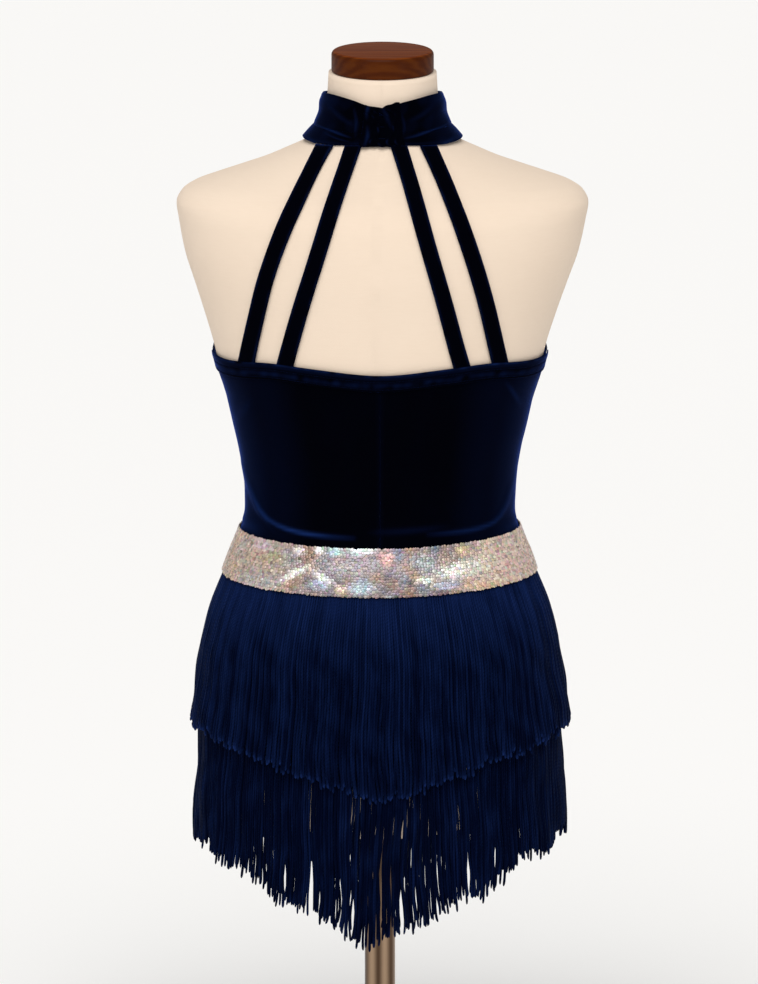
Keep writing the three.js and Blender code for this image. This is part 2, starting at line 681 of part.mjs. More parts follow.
/** A point off the form's facets, not off its true surface. */
function offFacets(angle, z, out) {
  const cell = (2 * Math.PI) / GRID_AROUND;
  const from = Math.floor(angle / cell) * cell;
  return offForm(from, z, out).lerp(offForm(from + cell, z, out), (angle - from) / cell);
}

/** One tier of fringe: a tape round the hips with its strands fused to it by their roots. */
function fringe(tier) {
  const { tapeTopZ, tapeBottomZ, strands, hangs, seed } = tier;
  const noise = seededNoise(seed);
  const tape = wall(
    gridAngles,
    [tapeBottomZ, tapeTopZ],
    (angle, z, layer) => offForm(angle, z, ON_PANEL + layer * TAPE_THICKNESS),
    true,
  );
  const last = hangs.at(-1);
  const angles = evenAngles(strands, (angle) => offForm(angle, last.z, ON_PANEL + last.out));
  const bars = angles.map((angle) => toSolid(strand(tier, angle, noise())));
  return toGeometry(bars.reduce((solid, bar) => solid.add(bar), toSolid(tape)));
}

/** One strand of a tier, three-sided, with its flat side out. */
function strand({ tipSideZ, tipCentreZ, ragged, hangs, spreadSide, spreadCentre }, angle, chance) {
  const across = Math.abs(Math.cos(angle));
  const last = hangs.at(-1);
  const tipZ = mix(tipCentreZ, tipSideZ, across) + chance * ragged;
  const spread = (last.z - tipZ) * mix(spreadCentre, spreadSide, across ** 2);
  const ringAt = ({ z, out, width, depth }, fall, drift) => {
    const place = offFacets(angle, z, ON_PANEL + out);
    const outward = new THREE.Vector3(place.x, place.y, 0).normalize();
    const sideways = new THREE.Vector3(-outward.y, outward.x, 0);
    place.addScaledVector(outward, drift).setZ(z - fall);
    return [
      place.clone().addScaledVector(sideways, width / 2).addScaledVector(outward, depth / 2),
      place.clone().addScaledVector(sideways, -width / 2).addScaledVector(outward, depth / 2),
      place.clone().addScaledVector(outward, -depth / 2),
    ];
  };
  return prism([...hangs.map((row) => ringAt(row, 0, 0)), ringAt(last, last.z - tipZ, spread)]);
}

/** A three-sided bar through rings of three points. */
function prism(rings) {
  const points = rings.flat();
  const last = points.length - 3;
  const faces = [
    [0, 2, 1],
    [last, last + 1, last + 2],
  ];
  for (let r = 0; r + 1 < rings.length; r++)
    for (let i = 0; i < 3; i++) {
      const next = (i + 1) % 3;
      faces.push(...quad(3 * r + i, 3 * r + next, 3 * r + 3 + next, 3 * r + 3 + i));
    }
  return closedGeometry(points, faces);
}

/** Angles that stand equally far apart round a closed line. */
function evenAngles(count, placeAt) {
  const fine = 720;
  const lengths = [0];
  for (let i = 1; i <= fine; i++) {
    const from = placeAt(((i - 1) / fine) * 2 * Math.PI);
    lengths.push(lengths[i - 1] + from.distanceTo(placeAt((i / fine) * 2 * Math.PI)));
  }
  return Array.from({ length: count }, (_, k) => {
    const target = ((k + 0.5) / count) * lengths[fine];
    const i = lengths.findIndex((length) => length > target);
    const share = (target - lengths[i - 1]) / (lengths[i] - lengths[i - 1]);
    return ((i - 1 + share) / fine) * 2 * Math.PI;
  });
}

// ---------------------------------------------------------------- the scene graph

/** Adds a named mesh to a group. */
function add(group, name, geometry, material) {
  const mesh = new THREE.Mesh(geometry, material);
  mesh.name = name;
  group.add(mesh);
  return mesh;
}

const costume = new THREE.Group();
add(costume, "bodice_back_left", backPanel(-Math.PI, BACK_ANGLE), velvet);
add(costume, "bodice_back_right", backPanel(BACK_ANGLE, 0), velvet);
add(costume, "bodice_front", bodiceFront(), velvet);
add(costume, "back_edge_band", backEdgeBand(), velvet);
for (const row of STRAPS) add(costume, row.name, strap(row), velvet);
add(costume, "collar_base", collarStrip([0, COLLAR_SEAM_SHARE / 2, COLLAR_SEAM_SHARE]), velvet);
add(costume, "collar_band", collarStrip([COLLAR_SEAM_SHARE + COLLAR_SEAM_GAP, 0.5, 0.75, 1]), velvet);
add(costume, "collar_closure", collarClosure(), velvet);
add(costume, "hip_back", hipPanel(-Math.PI, 0), velvet);
add(costume, "hip_front", hipPanel(0, Math.PI), velvet);
add(costume, "sequin_belt", sequinBelt(), sequins);
for (const tier of FRINGES) add(costume, tier.name, fringe(tier), chainette);

const dressForm = new THREE.Group();
add(dressForm, "form_torso", formTorso(), linen);
add(dressForm, "neck_cap", neckCap(), walnut).position.set(LEAN.x, FIGURE[0].middle, 0);
add(dressForm, "pole", pole(), bronze);
add(dressForm, "stand_base", standBase(), bronze);

const root = new THREE.Group();
root.add(costume, dressForm);

export default root;
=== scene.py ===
"""Fine shapes and finishes of a velvet fringe dance costume on its limbless dress form.

Metres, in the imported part's frame: +Z up, -Y the costume's back, -X the wearer's left. Each cloth piece is laid
over the dress form's own surface, a distance out from it, as the solids that it stands for are.
"""

import logging
import math
from dataclasses import dataclass
from enum import Enum
from typing import Callable, NamedTuple, Sequence

import bpy
import numpy as np
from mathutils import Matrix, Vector


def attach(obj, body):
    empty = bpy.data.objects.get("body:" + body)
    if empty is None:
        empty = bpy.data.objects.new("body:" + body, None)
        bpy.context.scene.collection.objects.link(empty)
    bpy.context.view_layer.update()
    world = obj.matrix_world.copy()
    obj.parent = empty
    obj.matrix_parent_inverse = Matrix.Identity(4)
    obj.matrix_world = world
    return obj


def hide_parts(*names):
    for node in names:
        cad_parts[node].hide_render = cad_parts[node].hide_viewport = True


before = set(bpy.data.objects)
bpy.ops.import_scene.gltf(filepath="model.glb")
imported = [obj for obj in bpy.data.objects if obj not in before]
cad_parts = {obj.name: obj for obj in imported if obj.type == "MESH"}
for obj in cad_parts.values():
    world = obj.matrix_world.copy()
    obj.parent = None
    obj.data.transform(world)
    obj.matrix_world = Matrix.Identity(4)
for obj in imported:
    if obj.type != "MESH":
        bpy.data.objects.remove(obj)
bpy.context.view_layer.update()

LOG = logging.getLogger("fringe_costume")
BODY = "root"
MM = 0.001
SEED = 20240611
TURN = 2 * math.pi
BACK = -math.pi / 2
SEAM_TURN = 2e-5
NECK_SEARCH = (0.855, 0.915)
HALVINGS = 30
BELT_REACH = 0.12
ROUND = np.linspace(0, TURN, 1441)

Array = np.ndarray
Number = float | Array
Object = bpy.types.Object
Pair = tuple[float, float]
Colour = tuple[float, float, float]


# ---------------------------------------------------------------- shader graphs


def _operator(operation: str, reflected: bool = False) -> Callable[["Signal", "Value"], "Signal"]:
    """Makes an arithmetic method of Signal.

    Args:
        operation: The Math node's operation.
        reflected: Whether the other operand comes first.

    Returns:
        The method.
    """

    def method(self: "Signal", other: "Value") -> "Signal":
        """Returns the operation's result."""
        first, second = (other, self) if reflected else (self, other)
        return self.shader.node("ShaderNodeMath", {"operation": operation}, {0: first, 1: second})

    return method


class Signal:
    """A socket of a material's node tree, which takes part in Python arithmetic."""

    __add__ = __radd__ = _operator("ADD")
    __sub__, __rsub__ = _operator("SUBTRACT"), _operator("SUBTRACT", reflected=True)
    __mul__ = __rmul__ = _operator("MULTIPLY")
    __gt__, __lt__ = _operator("GREATER_THAN"), _operator("LESS_THAN")

    def __init__(self, shader: "Shader", socket: bpy.types.NodeSocket) -> None:
        """Wraps an output socket of a shader's tree."""
        self.shader, self.socket = shader, socket

    def sine(self) -> "Signal":
        """Returns the sine of self, in radians."""
        return self.shader.node("ShaderNodeMath", {"operation": "SINE"}, {0: self})

    def wave(self) -> "Signal":
        """Returns the sine of self, moved to lie between 0 and 1."""
        return self.sine() * 0.5 + 0.5

    def clamped(self) -> "Signal":
        """Returns self held between 0 and 1."""
        return self.shader.node("ShaderNodeClamp", {}, {"Value": self})

    def axis(self, name: str) -> "Signal":
        """Returns the X, Y or Z of a vector."""
        return self.shader.node("ShaderNodeSeparateXYZ", {}, {0: self}, name)


Value = float | Signal
Tint = Colour | Signal


class Shader:
    """A material's node tree, around one Principled BSDF."""

    def __init__(self, name: str) -> None:
        """Starts an empty material with this name."""
        self.material = bpy.data.materials.new(name)
        self.material.use_nodes = True
        self.tree = self.material.node_tree
        self.tree.nodes.clear()

    def node(
        self, kind: str, settings: dict | None = None, sockets: dict | None = None, output: int | str = 0
    ) -> Signal:
        """Adds a node.

        Args:
            kind: The node's type.
            settings: Its properties, set first; "stops" is a ramp's list of (place, colour).
            sockets: Values or signals for its inputs, by name or index.
            output: Which output to return.

        Returns:
            That output.
        """
        made = self.tree.nodes.new(kind)
        for name, value in (settings or {}).items():
            if name == "stops":
                elements = made.color_ramp.elements
                while len(elements) < len(value):
                    elements.new(1.0)
                for element, (place, colour) in zip(elements, value):
                    element.position, element.color = place, (*colour, 1.0)
            else:
                setattr(made, name, value)
        for key, value in (sockets or {}).items():
            if isinstance(value, Signal):
                self.tree.links.new(value.socket, made.inputs[key])
            else:
                made.inputs[key].default_value = value
        return Signal(self, made.outputs[output])

    def mix(self, factor: Value, first: Tint, second: Tint, blend: str = "MIX") -> Signal:
        """Mixes two colours.

        Args:
            factor: 0 gives the first, 1 the second.
            first: A colour or a signal.
            second: Another.
            blend: How the second is laid on the first.

        Returns:
            The mixed colour.
        """
        settings = {"data_type": "RGBA", "blend_type": blend}
        return self.node("ShaderNodeMix", settings, {0: factor, 6: _rgba(first), 7: _rgba(second)}, 2)

    def attribute(self, name: str, output: str = "Fac") -> Signal:
        """An attribute of the piece."""
        return self.node("ShaderNodeAttribute", {"attribute_name": name}, output=output)

    def place(self) -> Signal:
        """The point on the piece, in metres."""
        return self.node("ShaderNodeTexCoord", output="Object")

    def scaled(self, vector: Signal, by: Colour) -> Signal:
        """Multiplies a vector, axis by axis."""
        return self.node("ShaderNodeVectorMath", {"operation": "MULTIPLY"}, {0: vector, 1: by})

    def noise(self, vector: Signal, scale: float, detail: float = 2.0, distortion: float = 0.0) -> Signal:
        """Soft noise.

        Args:
            vector: Where it is looked up.
            scale: How many features it has in a metre of the vector.
            detail: How many finer layers it has.
            distortion: How much it is stirred.

        Returns:
            Its height, between 0 and 1.
        """
        sockets = {"Vector": vector, "Scale": scale, "Detail": detail, "Distortion": distortion}
        return self.node("ShaderNodeTexNoise", {}, sockets, "Fac")

    def weave(self, pitch: float) -> Signal:
        """A plain weave's height on the map "cloth".

        Args:
            pitch: The distance between two threads.

        Returns:
            A height between 0 and 1.
        """
        cloth = self.node("ShaderNodeUVMap", {"uv_map": "cloth"})
        across, along = ((cloth.axis(axis) * (TURN / pitch)).sine() for axis in "XY")
        return across * along * 0.5 + 0.5

    def bump(self, height: Signal, depth: float, strength: float) -> Signal:
        """A normal from a height of 0 to 1, which stands for a depth in metres and shows with a strength."""
        return self.node("ShaderNodeBump", {}, {"Height": height, "Distance": depth, "Strength": strength})

    def finish(self, look: "Finish") -> bpy.types.Material:
        """Ends the tree in a Principled BSDF.

        Args:
            look: Says what its inputs are.

        Returns:
            The material.
        """
        named = {key.replace("_", " "): value for key, value in look.surface(self).items()}
        surface = self.node("ShaderNodeBsdfPrincipled", {}, named)
        output = self.tree.nodes.new("ShaderNodeOutputMaterial")
        self.tree.links.new(surface.socket, output.inputs["Surface"])
        return self.material


def _rgba(colour: Tint) -> tuple[float, ...] | Signal:
    """A colour with its alpha, or the signal as it is."""
    return colour if isinstance(colour, Signal) else (*colour, 1.0)


# ---------------------------------------------------------------- finishes


@dataclass(frozen=True)
class Finish:
    """How a surface looks, and its material slot."""

    name: str
    slot: str

    def surface(self, shader: Shader) -> dict[str, object]:
        """The Principled BSDF's inputs, with underscores for the spaces in their names."""
        raise NotImplementedError

    def material(self) -> bpy.types.Material:
        """The material, built at its first use."""
        return bpy.data.materials.get(self.name) or Shader(self.name).finish(self)


@dataclass(frozen=True)
class Velvet(Finish):
    """Stretch velvet: a near-black navy pile, lit blue at its edges by its sheen, and painted blue where "nap" says:
    painted highlights along creases and edges, and painted sheen toward the sides.
    """

    name: str = "navy_velvet"
    slot: str = "velvet"
    deep: Colour = (0.0001, 0.0002, 0.0015)
    # painted highlight: the blue painted on creases, edges and sides in place of light on the pile
    painted_lit_pile: Colour = (0.0055, 0.0180, 0.0900)
    sheen: Colour = (0.08, 0.20, 1.0)
    sheen_weight: float = 0.5
    pile_scale: float = 1500.0
    nap_scale: float = 17.0
    nap_stretch: Colour = (1.0, 1.0, 0.55)

    def surface(self, shader: Shader) -> dict[str, object]:
        """Mixes the deep pile with its painted highlight colour."""
        place = shader.place()
        pile = shader.noise(place, self.pile_scale)
        drift = shader.noise(shader.scaled(place, self.nap_stretch), self.nap_scale, 3.0, 0.6)
        uneven = (drift - 0.5) * 0.035 + (pile - 0.5) * 0.03
        # painted highlight: how much of the painted blue lies at each point
        painted_lit_pile = (shader.attribute("nap") * (0.75 + pile * 0.5) + uneven).clamped()
        return dict(
            Base_Color=shader.mix(painted_lit_pile, self.deep, self.painted_lit_pile),
            Roughness=0.7 + 0.2 * drift,
            Specular_IOR_Level=0.01,
            Sheen_Weight=self.sheen_weight,
            Sheen_Roughness=0.24,
            Sheen_Tint=_rgba(self.sheen),
            Normal=shader.bump(pile + drift * 2.0, 0.3 * MM, 0.4),
        )


@dataclass(frozen=True)
class Chainette(Finish):
    """Twisted rayon fringe. The pieces carry their strands' length in v and their own shade in "tone"."""

    name: str = "navy_chainette"
    slot: str = "chainette"
    shade: Colour = (0.0004, 0.0016, 0.0105)
    shine: Colour = (0.0090, 0.0250, 0.1180)
    sheen: Colour = (0.10, 0.28, 1.0)
    pitch: float = 3.4 * MM
    turns: float = 2.0
    fuzz_scale: float = 900.0

    def surface(self, shader: Shader) -> dict[str, object]:
        """Winds the twist round each strand."""
        strand = shader.node("ShaderNodeUVMap", {"uv_map": "strand"})
        twist = (strand.axis("Y") * (TURN / self.pitch) + strand.axis("X") * (TURN * self.turns)).wave()
        fuzz = shader.noise(shader.place(), self.fuzz_scale)
        light = (shader.attribute("tone") * (0.8 + twist * 0.4) + (fuzz - 0.5) * 0.12).clamped()
        return dict(
            Base_Color=shader.mix(light, self.shade, self.shine),
            Roughness=0.42 + 0.2 * fuzz,
            Specular_IOR_Level=0.008,
            Sheen_Weight=0.04,
            Sheen_Roughness=0.4,
            Sheen_Tint=_rgba(self.sheen),
            Normal=shader.bump(twist + fuzz * 0.4, 0.25 * MM, 0.6),
        )


@dataclass(frozen=True)
class Sequins(Finish):
    """Thin holographic discs. Each carries its colour in "hue": its own colour with painted glints laid on it."""

    name: str = "holographic_sequins"
    slot: str = "sequins"
    etch_scale: float = 2600.0

    def surface(self, shader: Shader) -> dict[str, object]:
        """Etches each sequin's own colour."""
        etched = shader.noise(shader.place(), self.etch_scale, 1.0)
        return dict(
            Base_Color=shader.attribute("hue", "Color"),
            Metallic=0.55,
            Roughness=0.34 + 0.16 * etched,
            Coat_Weight=0.25,
            Coat_Roughness=0.16,
            Normal=shader.bump(etched, 0.06 * MM, 0.35),
        )


@dataclass(frozen=True)
class BeltGround(Finish):
    """The woven ground that the sequins are sewn to."""

    name: str = "belt_ground"
    slot: str = "sequins"
    pitch: float = 1.1 * MM
    dark: Colour = (0.17, 0.13, 0.12)
    light: Colour = (0.45, 0.38, 0.33)
    soft_scale: float = 160.0

    def surface(self, shader: Shader) -> dict[str, object]:
        """Shades the weave."""
        weave = shader.weave(self.pitch)
        soft = shader.noise(shader.place(), self.soft_scale)
        return dict(
            Base_Color=shader.mix(weave * 0.6 + soft * 0.4, self.dark, self.light),
            Roughness=0.5 + 0.2 * weave,
            Metallic=0.25,
            Normal=shader.bump(weave, 0.25 * MM, 0.7),
        )


@dataclass(frozen=True)
class Calico(Finish):
    """The form's cream cotton cover, stretched tight."""

    name: str = "cream_calico"
    slot: str = "linen"
    pitch: float = 0.62 * MM
    light: Colour = (0.860, 0.720, 0.590)
    dark: Colour = (0.790, 0.640, 0.505)
    slub_stretch: Colour = (1.0, 1.0, 7.0)
    slub_scale: float = 85.0
    handled_scale: float = 9.0

    def surface(self, shader: Shader) -> dict[str, object]:
        """Shades the weave, with thicker threads and a handled look."""
        weave = shader.weave(self.pitch)
        place = shader.place()
        slub = shader.noise(shader.scaled(place, self.slub_stretch), self.slub_scale, 3.0)
        handled = shader.noise(place, self.handled_scale, 3.0)
        tone = (handled * 0.5 + slub * 0.35 + weave * 0.15).clamped()
        return dict(
            Base_Color=shader.mix(tone, self.dark, self.light),
            Roughness=0.86 + 0.1 * slub,
            Specular_IOR_Level=0.2,
            Sheen_Weight=0.08,
            Sheen_Roughness=0.5,
            Normal=shader.bump(weave + slub * 0.5, 0.12 * MM, 0.6),
        )


@dataclass(frozen=True)
class Walnut(Finish):
    """Turned and varnished wood, its grain lying across the cap, and its top face painted lighter for the light that
    falls on it from above.
    """

    name: str = "stained_walnut"
    slot: str = "walnut"
    ring: float = 0.011
    grain_stretch: Colour = (0.16, 1.0, 1.5)
    pore_stretch: Colour = (9.0, 160.0, 160.0)
    pore_from: float = 0.62
    # where the painted light on the top face starts, and its tint
    top_from: float = 0.9776
    painted_top_light: Colour = (1.9, 1.85, 1.4)
    stops: tuple[tuple[float, Colour], ...] = (
        (0.0, (0.046, 0.0078, 0.0006)),
        (0.5, (0.070, 0.0140, 0.0010)),
        (1.0, (0.096, 0.0230, 0.0020)),
    )

    def surface(self, shader: Shader) -> dict[str, object]:
        """Lays growth rings and pores through the wood."""
        place = shader.place()
        across = shader.scaled(place, self.grain_stretch)
        stirred = shader.noise(across, 26.0, 4.0, 0.8)
        rings = (across.axis("Y") + across.axis("Z") * 0.6) * (1 / self.ring) + stirred * 2.6
        grain = (rings * TURN).wave()
        pores = shader.noise(shader.scaled(place, self.pore_stretch), 6.0)
        tone = (grain * 0.55 + stirred * 0.45 - (pores > self.pore_from) * 0.22).clamped()
        colour = shader.node("ShaderNodeValToRGB", {"stops": self.stops}, {"Fac": tone}, "Color")
        # painted light: the top face is made lighter, standing in for light from above
        lighter = shader.mix(1.0, colour, self.painted_top_light, "MULTIPLY")
        return dict(
            Base_Color=shader.mix(place.axis("Z") > self.top_from, colour, lighter),
            Roughness=0.42 + 0.14 * pores,
            Specular_IOR_Level=0.04,
            Coat_Weight=0.04,
            Coat_Roughness=0.18,
            Normal=shader.bump(grain + pores * 0.6, 0.06 * MM, 0.5),
        )


@dataclass(frozen=True)
class Bronze(Finish):
    """Bronze-plated steel, drawn along its length, with painted reflections: light and dark upright stripes painted
    across x, where the lamps would show in the pole.
    """

    name: str = "bronze_plate"
    slot: str = "bronze"
    colour: Colour = (0.42, 0.29, 0.19)
    # the dark of the painted reflection stripes, and of the random drawn lines where there are no stripes
    worn: Colour = (0.05, 0.024, 0.013)
    drawn: Colour = (260.0, 260.0, 6.0)
    # how strongly the painted reflection stripes show, their pitch and their place across x
    reflection_stripes: float = 0.8
    reflection_pitch: float = 0.0118
    reflection_shift: float = 0.0104

    def surface(self, shader: Shader) -> dict[str, object]:
        """Draws streaks along the metal and paints reflection stripes across it."""
        place = shader.place()
        lines = shader.noise(shader.scaled(place, self.drawn), 3.0, 3.0)
        patches = shader.noise(place, 22.0, 3.0)
        # painted reflections: upright stripes, lighter and darker across x
        painted_stripes = ((place.axis("X") + self.reflection_shift) * (TURN / self.reflection_pitch)).wave()
        bright = painted_stripes * self.reflection_stripes + (patches + lines) * (0.5 - self.reflection_stripes / 2)
        return dict(
            Base_Color=shader.mix(bright, self.worn, self.colour),
            Metallic=0.95,
            Roughness=0.2 + 0.12 * lines + 0.1 * patches,
            Normal=shader.bump(lines, 0.03 * MM, 0.4),
        )


@dataclass(frozen=True)
class PaleFloor(Finish):
    """A plain pale studio floor."""

    name: str = "pale_floor"
    slot: str = ""
    greys: Pair = (0.955, 0.965)

    def surface(self, shader: Shader) -> dict[str, object]:
        """Drifts between two greys."""
        drift = shader.noise(shader.place(), 0.8)
        return dict(
            Base_Color=shader.mix(drift, *((grey,) * 3 for grey in self.greys)),
            Roughness=0.9,
            Specular_IOR_Level=0.1,
        )


VELVET, CHAINETTE = Velvet(), Chainette()
THREAD = Velvet(name="navy_thread", deep=(0.0015, 0.0035, 0.014), sheen_weight=0.35)
BASE_BRONZE = Bronze(name="bronze_plate_base", worn=(0.11, 0.062, 0.034), drawn=(40.0, 40.0, 40.0), reflection_stripes=0.0)


# ---------------------------------------------------------------- curves and the form's surface


def smoothstep(value: Number, low: float, high: float) -> Array:
    """0 below low, 1 above high, and smooth between them."""
    t = np.clip((value - low) / (high - low), 0, 1)
    return t * t * (3 - 2 * t)


def bell(value: Number, centre: Number, width: float) -> Array:
    """1 at the centre, falling to 1/e a width away from it."""
    return np.exp(-(((value - centre) / width) ** 2))


def unit(vectors: Array) -> Array:
    """The vectors at a length of 1."""
    return vectors / np.maximum(np.linalg.norm(vectors, axis=-1, keepdims=True), 1e-12)


def walked(points: Array, axis: int = 0) -> Array:
    """The distance walked to each point along an axis of their array."""
    steps = np.linalg.norm(np.diff(points, axis=axis), axis=-1)
    return np.concatenate([np.zeros_like(steps.take([0], axis)), np.cumsum(steps, axis=axis)], axis=axis)


def from_ends(places: Array) -> Array:
    """Each place's distance from the nearer end of its row."""
    return np.minimum(places - places[0], places[-1] - places)


def spaced(line: Array, pitch: float, shift: float) -> Array:
    """The angles of places equally far apart on a line round the form.

    Args:
        line: Its points, at the angles of ROUND.
        pitch: About how far apart they are.
        shift: Where the first lies, as a share of that.

    Returns:
        The angles.
    """
    way = walked(line)
    count = int(way[-1] / pitch)
    return np.interp((np.arange(count) + shift) / count * way[-1], way, ROUND)


class Curve:
    """A smooth function through a table's points, level past its ends."""

    def __init__(self, places: Sequence[float], values: Sequence[float]) -> None:
        """Works out the tangents.

        Args:
            places: Where the points lie, in any order.
            values: What the function is there.
        """
        order = np.argsort(places)
        self.places, self.values = np.asarray(places, float)[order], np.asarray(values, float)[order]
        slopes = np.diff(self.values) / np.diff(self.places)
        before, after = np.append(slopes[:1], slopes), np.append(slopes, slopes[-1:])
        same_way = before * after > 0
        self.tangents = np.where(same_way, 2 * before * after / np.where(same_way, before + after, 1.0), 0.0)

    def __call__(self, place: Number) -> Array:
        """The function at each place."""
        place = np.clip(place, self.places[0], self.places[-1])
        i = np.clip(np.searchsorted(self.places, place, side="right") - 1, 0, len(self.places) - 2)
        run = self.places[i + 1] - self.places[i]
        t = (place - self.places[i]) / run
        level = self.values[i] * (1 + 2 * t) * (1 - t) ** 2 + self.values[i + 1] * t**2 * (3 - 2 * t)
        lean = self.tangents[i] * t * (1 - t) ** 2 - self.tangents[i + 1] * t**2 * (1 - t)
        return level + run * lean


class Oval(NamedTuple):
    """A level superellipse: its centre's x, half its width, its depths and middle line in y, its squareness."""

    centre: Number
    half: Number
    back: Number
    front: Number
    middle: Number
    square: Number = 2.0

    def at(self, angle: Array) -> tuple[Array, Array]:
        """Its x and y at an angle, with the centre back at -90 degrees."""
        across, along = (np.sign(way) * np.abs(way) ** (2 / self.square) for way in (np.cos(angle), np.sin(angle)))
        return self.centre + self.half * across, self.middle + np.where(along < 0, self.back, self.front) * along

    def share(self, x: Number, y: Number) -> Array:
        """How far out a place lies: 1 on the edge, less inside."""
        depth = np.where(y < self.middle, self.back, self.front)
        across, along = np.abs((x - self.centre) / self.half), np.abs((y - self.middle) / depth)
        return (across**self.square + along**self.square) ** (1 / self.square)


class Bust(NamedTuple):
    """Two soft rises on the form's front, joined by a shallow bridge, in mm."""

    rise: float
    x: float
    z: float
    spread_x: float
    spread_z: float
    bridge: float


@dataclass
class Figure:
    """The dress form's surface, which leans to the wearer's right toward the neck, and what is laid over it.

    Each row of its sections is a depth below the top of the neck cap and an Oval without its centre, in mm.
    """

    height: float = 0.98
    lean: float = 2.4 * MM
    lean_z: Pair = (0.690, 0.860)
    bust: Bust = Bust(17, 66, 716, 38, 44, 0.72)
    normal_step: Pair = (0.02, 1 * MM)
    sections: tuple[tuple[float, ...], ...] = (
        (21.5, 49.6, 49.6, 49.4, 8, 2), (45, 51, 53, 52, 7, 2), (68, 54.5, 57, 56, 5, 2),
        (75, 57.5, 60, 57, 4, 2), (79, 63.5, 64, 57, 3, 2.05), (85.5, 73.5, 67, 58.7, 1.6, 2.1),
        (93.5, 91.5, 69.7, 61.4, 0.6, 2.15), (101.5, 110.5, 72.6, 65, 0, 2.2), (108.7, 132, 76.3, 68.8, 0, 2.2),
        (116.6, 155.5, 80.6, 73, 0, 2.25), (123.5, 174, 83.8, 76.8, 0, 2.3), (131, 184.5, 87.4, 80.4, 0, 2.3),
        (141, 189, 91.6, 84.8, 0, 2.35), (154, 187, 96, 89, 0, 2.4), (184, 181, 101, 96, 0, 2.4),
        (214, 171, 103, 101, 0, 2.4), (244, 161, 103, 104, 0, 2.4), (274, 152, 103, 104, 0, 2.4),
        (290, 148.5, 102, 102, 0, 2.4), (320, 139.5, 99, 97, 0, 2.3), (350, 132, 94, 92, 0, 2.25),
        (380, 126, 89, 88.5, 0, 2.2), (410, 122.5, 86, 87, 0, 2.2), (428, 122, 86, 87.5, 0, 2.2),
        (449, 126.8, 91, 89, 0, 2.2), (470, 134, 100, 92, 0, 2.2), (491, 141, 106, 95, 0, 2.2),
        (515, 146, 113, 98, 0, 2.25), (545, 150, 118, 99, 0, 2.3), (590, 154, 120, 98, 0, 2.3),
        (635, 150, 115, 94, 0, 2.3), (675, 138, 103, 85, 0, 2.25), (705, 116, 84, 70, 0, 2.2),
        (722, 90, 64, 54, 0, 2.1), (730, 64, 46, 40, 0, 2),
    )  # fmt: skip

    def __post_init__(self) -> None:
        """Works out a curve for each column of the sections."""
        drops, *sizes, square = np.array(self.sections, float).T
        self.drops = drops * MM
        heights = self.height - self.drops
        self.bottom = heights[-1]
        self.curves = [*(Curve(heights, size * MM) for size in sizes), Curve(heights, square)]

    def section(self, z: Number) -> Oval:
        """The form's section at each height."""
        return Oval(self.lean * smoothstep(z, *self.lean_z), *(curve(z) for curve in self.curves))

    def bare(self, angle: Number, z: Number) -> Array:
        """The bare form's points at these angles and heights, with x, y and z on the last axis."""
        angle, z = np.broadcast_arrays(np.asarray(angle, float), np.asarray(z, float))
        x, y = self.section(z).at(angle)
        return np.stack([x, y + self._bust_rise(x / MM, z / MM) * np.maximum(np.sin(angle), 0), z], axis=-1)

    def _bust_rise(self, x: Array, z: Array) -> Array:
        """How far the bust lifts the front.

        Args:
            x: Where, in mm.
            z: Where, in mm.

        Returns:
            The rise in metres.
        """
        bust = self.bust
        beyond = np.abs(x) - bust.x
        side = np.exp(-((beyond / bust.spread_x) ** 2) / 2)
        bridged = bust.bridge + (1 - bust.bridge) * (x / bust.x) ** 2
        across = np.where(beyond < 0, np.maximum(side, bridged), side)
        return bust.rise * MM * across * np.exp(-(((z - bust.z) / bust.spread_z) ** 2) / 2)

    def normal(self, angle: Number, z: Number) -> Array:
        """The unit vectors that point out of the form."""
        turn, rise = self.normal_step
        around = self.bare(angle + turn, z) - self.bare(angle - turn, z)
        return unit(np.cross(around, self.bare(angle, z + rise) - self.bare(angle, z - rise)))

    def lay(self, angle: Number, z: Number, out: Number) -> Array:
        """Points a distance out from the form, along its normal at these angles and heights."""
        angle, z, out = np.broadcast_arrays(*(np.asarray(each, float) for each in (angle, z, out)))
        return self.bare(angle, z) + self.normal(angle, z) * out[..., None]

    def back_angle(self, x: Array, z: Array) -> Array:
        """The angle on the form's back at which its surface has this x."""
        oval = self.section(z)
        away = (x - oval.centre) / oval.half
        return -np.arccos(np.sign(away) * np.clip(np.abs(away), 0, 1) ** (oval.square / 2))


@dataclass(frozen=True)
class Layers:
    """How far out from the form each layer of cloth lies, or how thick it is."""

    clearance: float = 0.7 * MM
    seam: float = 0.3 * MM
    panel: float = 1.5 * MM
    band: float = 1.2 * MM
    strap: float = 2.0 * MM
    strap_clearance: float = 1.1 * MM
    tape: float = 1.2 * MM
    belt: float = 2.0 * MM
    belt_ease: float = 0.3 * MM
    collar: float = 2.0 * MM
    chest: float = 0.9 * MM

    @property
    def on_panel(self) -> float:
        """The inner face of what is sewn onto a panel."""
        return self.clearance + self.panel + self.seam


LAYERS, FIGURE = Layers(), Figure()


def neck_height(test: Callable[[Array], Array], shape: tuple[int, ...]) -> Array:
    """Finds the heights at the foot of the neck at which a test turns true, going up.

    Args:
        test: Says, for an array of heights, where it is true.
        shape: The array's shape.

    Returns:
        The heights.
    """
    below, above = (np.full(shape, height) for height in NECK_SEARCH)
    for _ in range(HALVINGS):
        middle = (below + above) / 2
        true = test(middle)
        below, above = np.where(true, below, middle), np.where(true, middle, above)
    return (below + above) / 2


def belt_rise(x: Array) -> Array:
    """How much higher the belt sits at the sides than at the centre, and more so at the wearer's right."""
    reach = x / BELT_REACH
    return (3.9 * np.abs(reach) ** 1.5 + 0.9 * reach) * MM


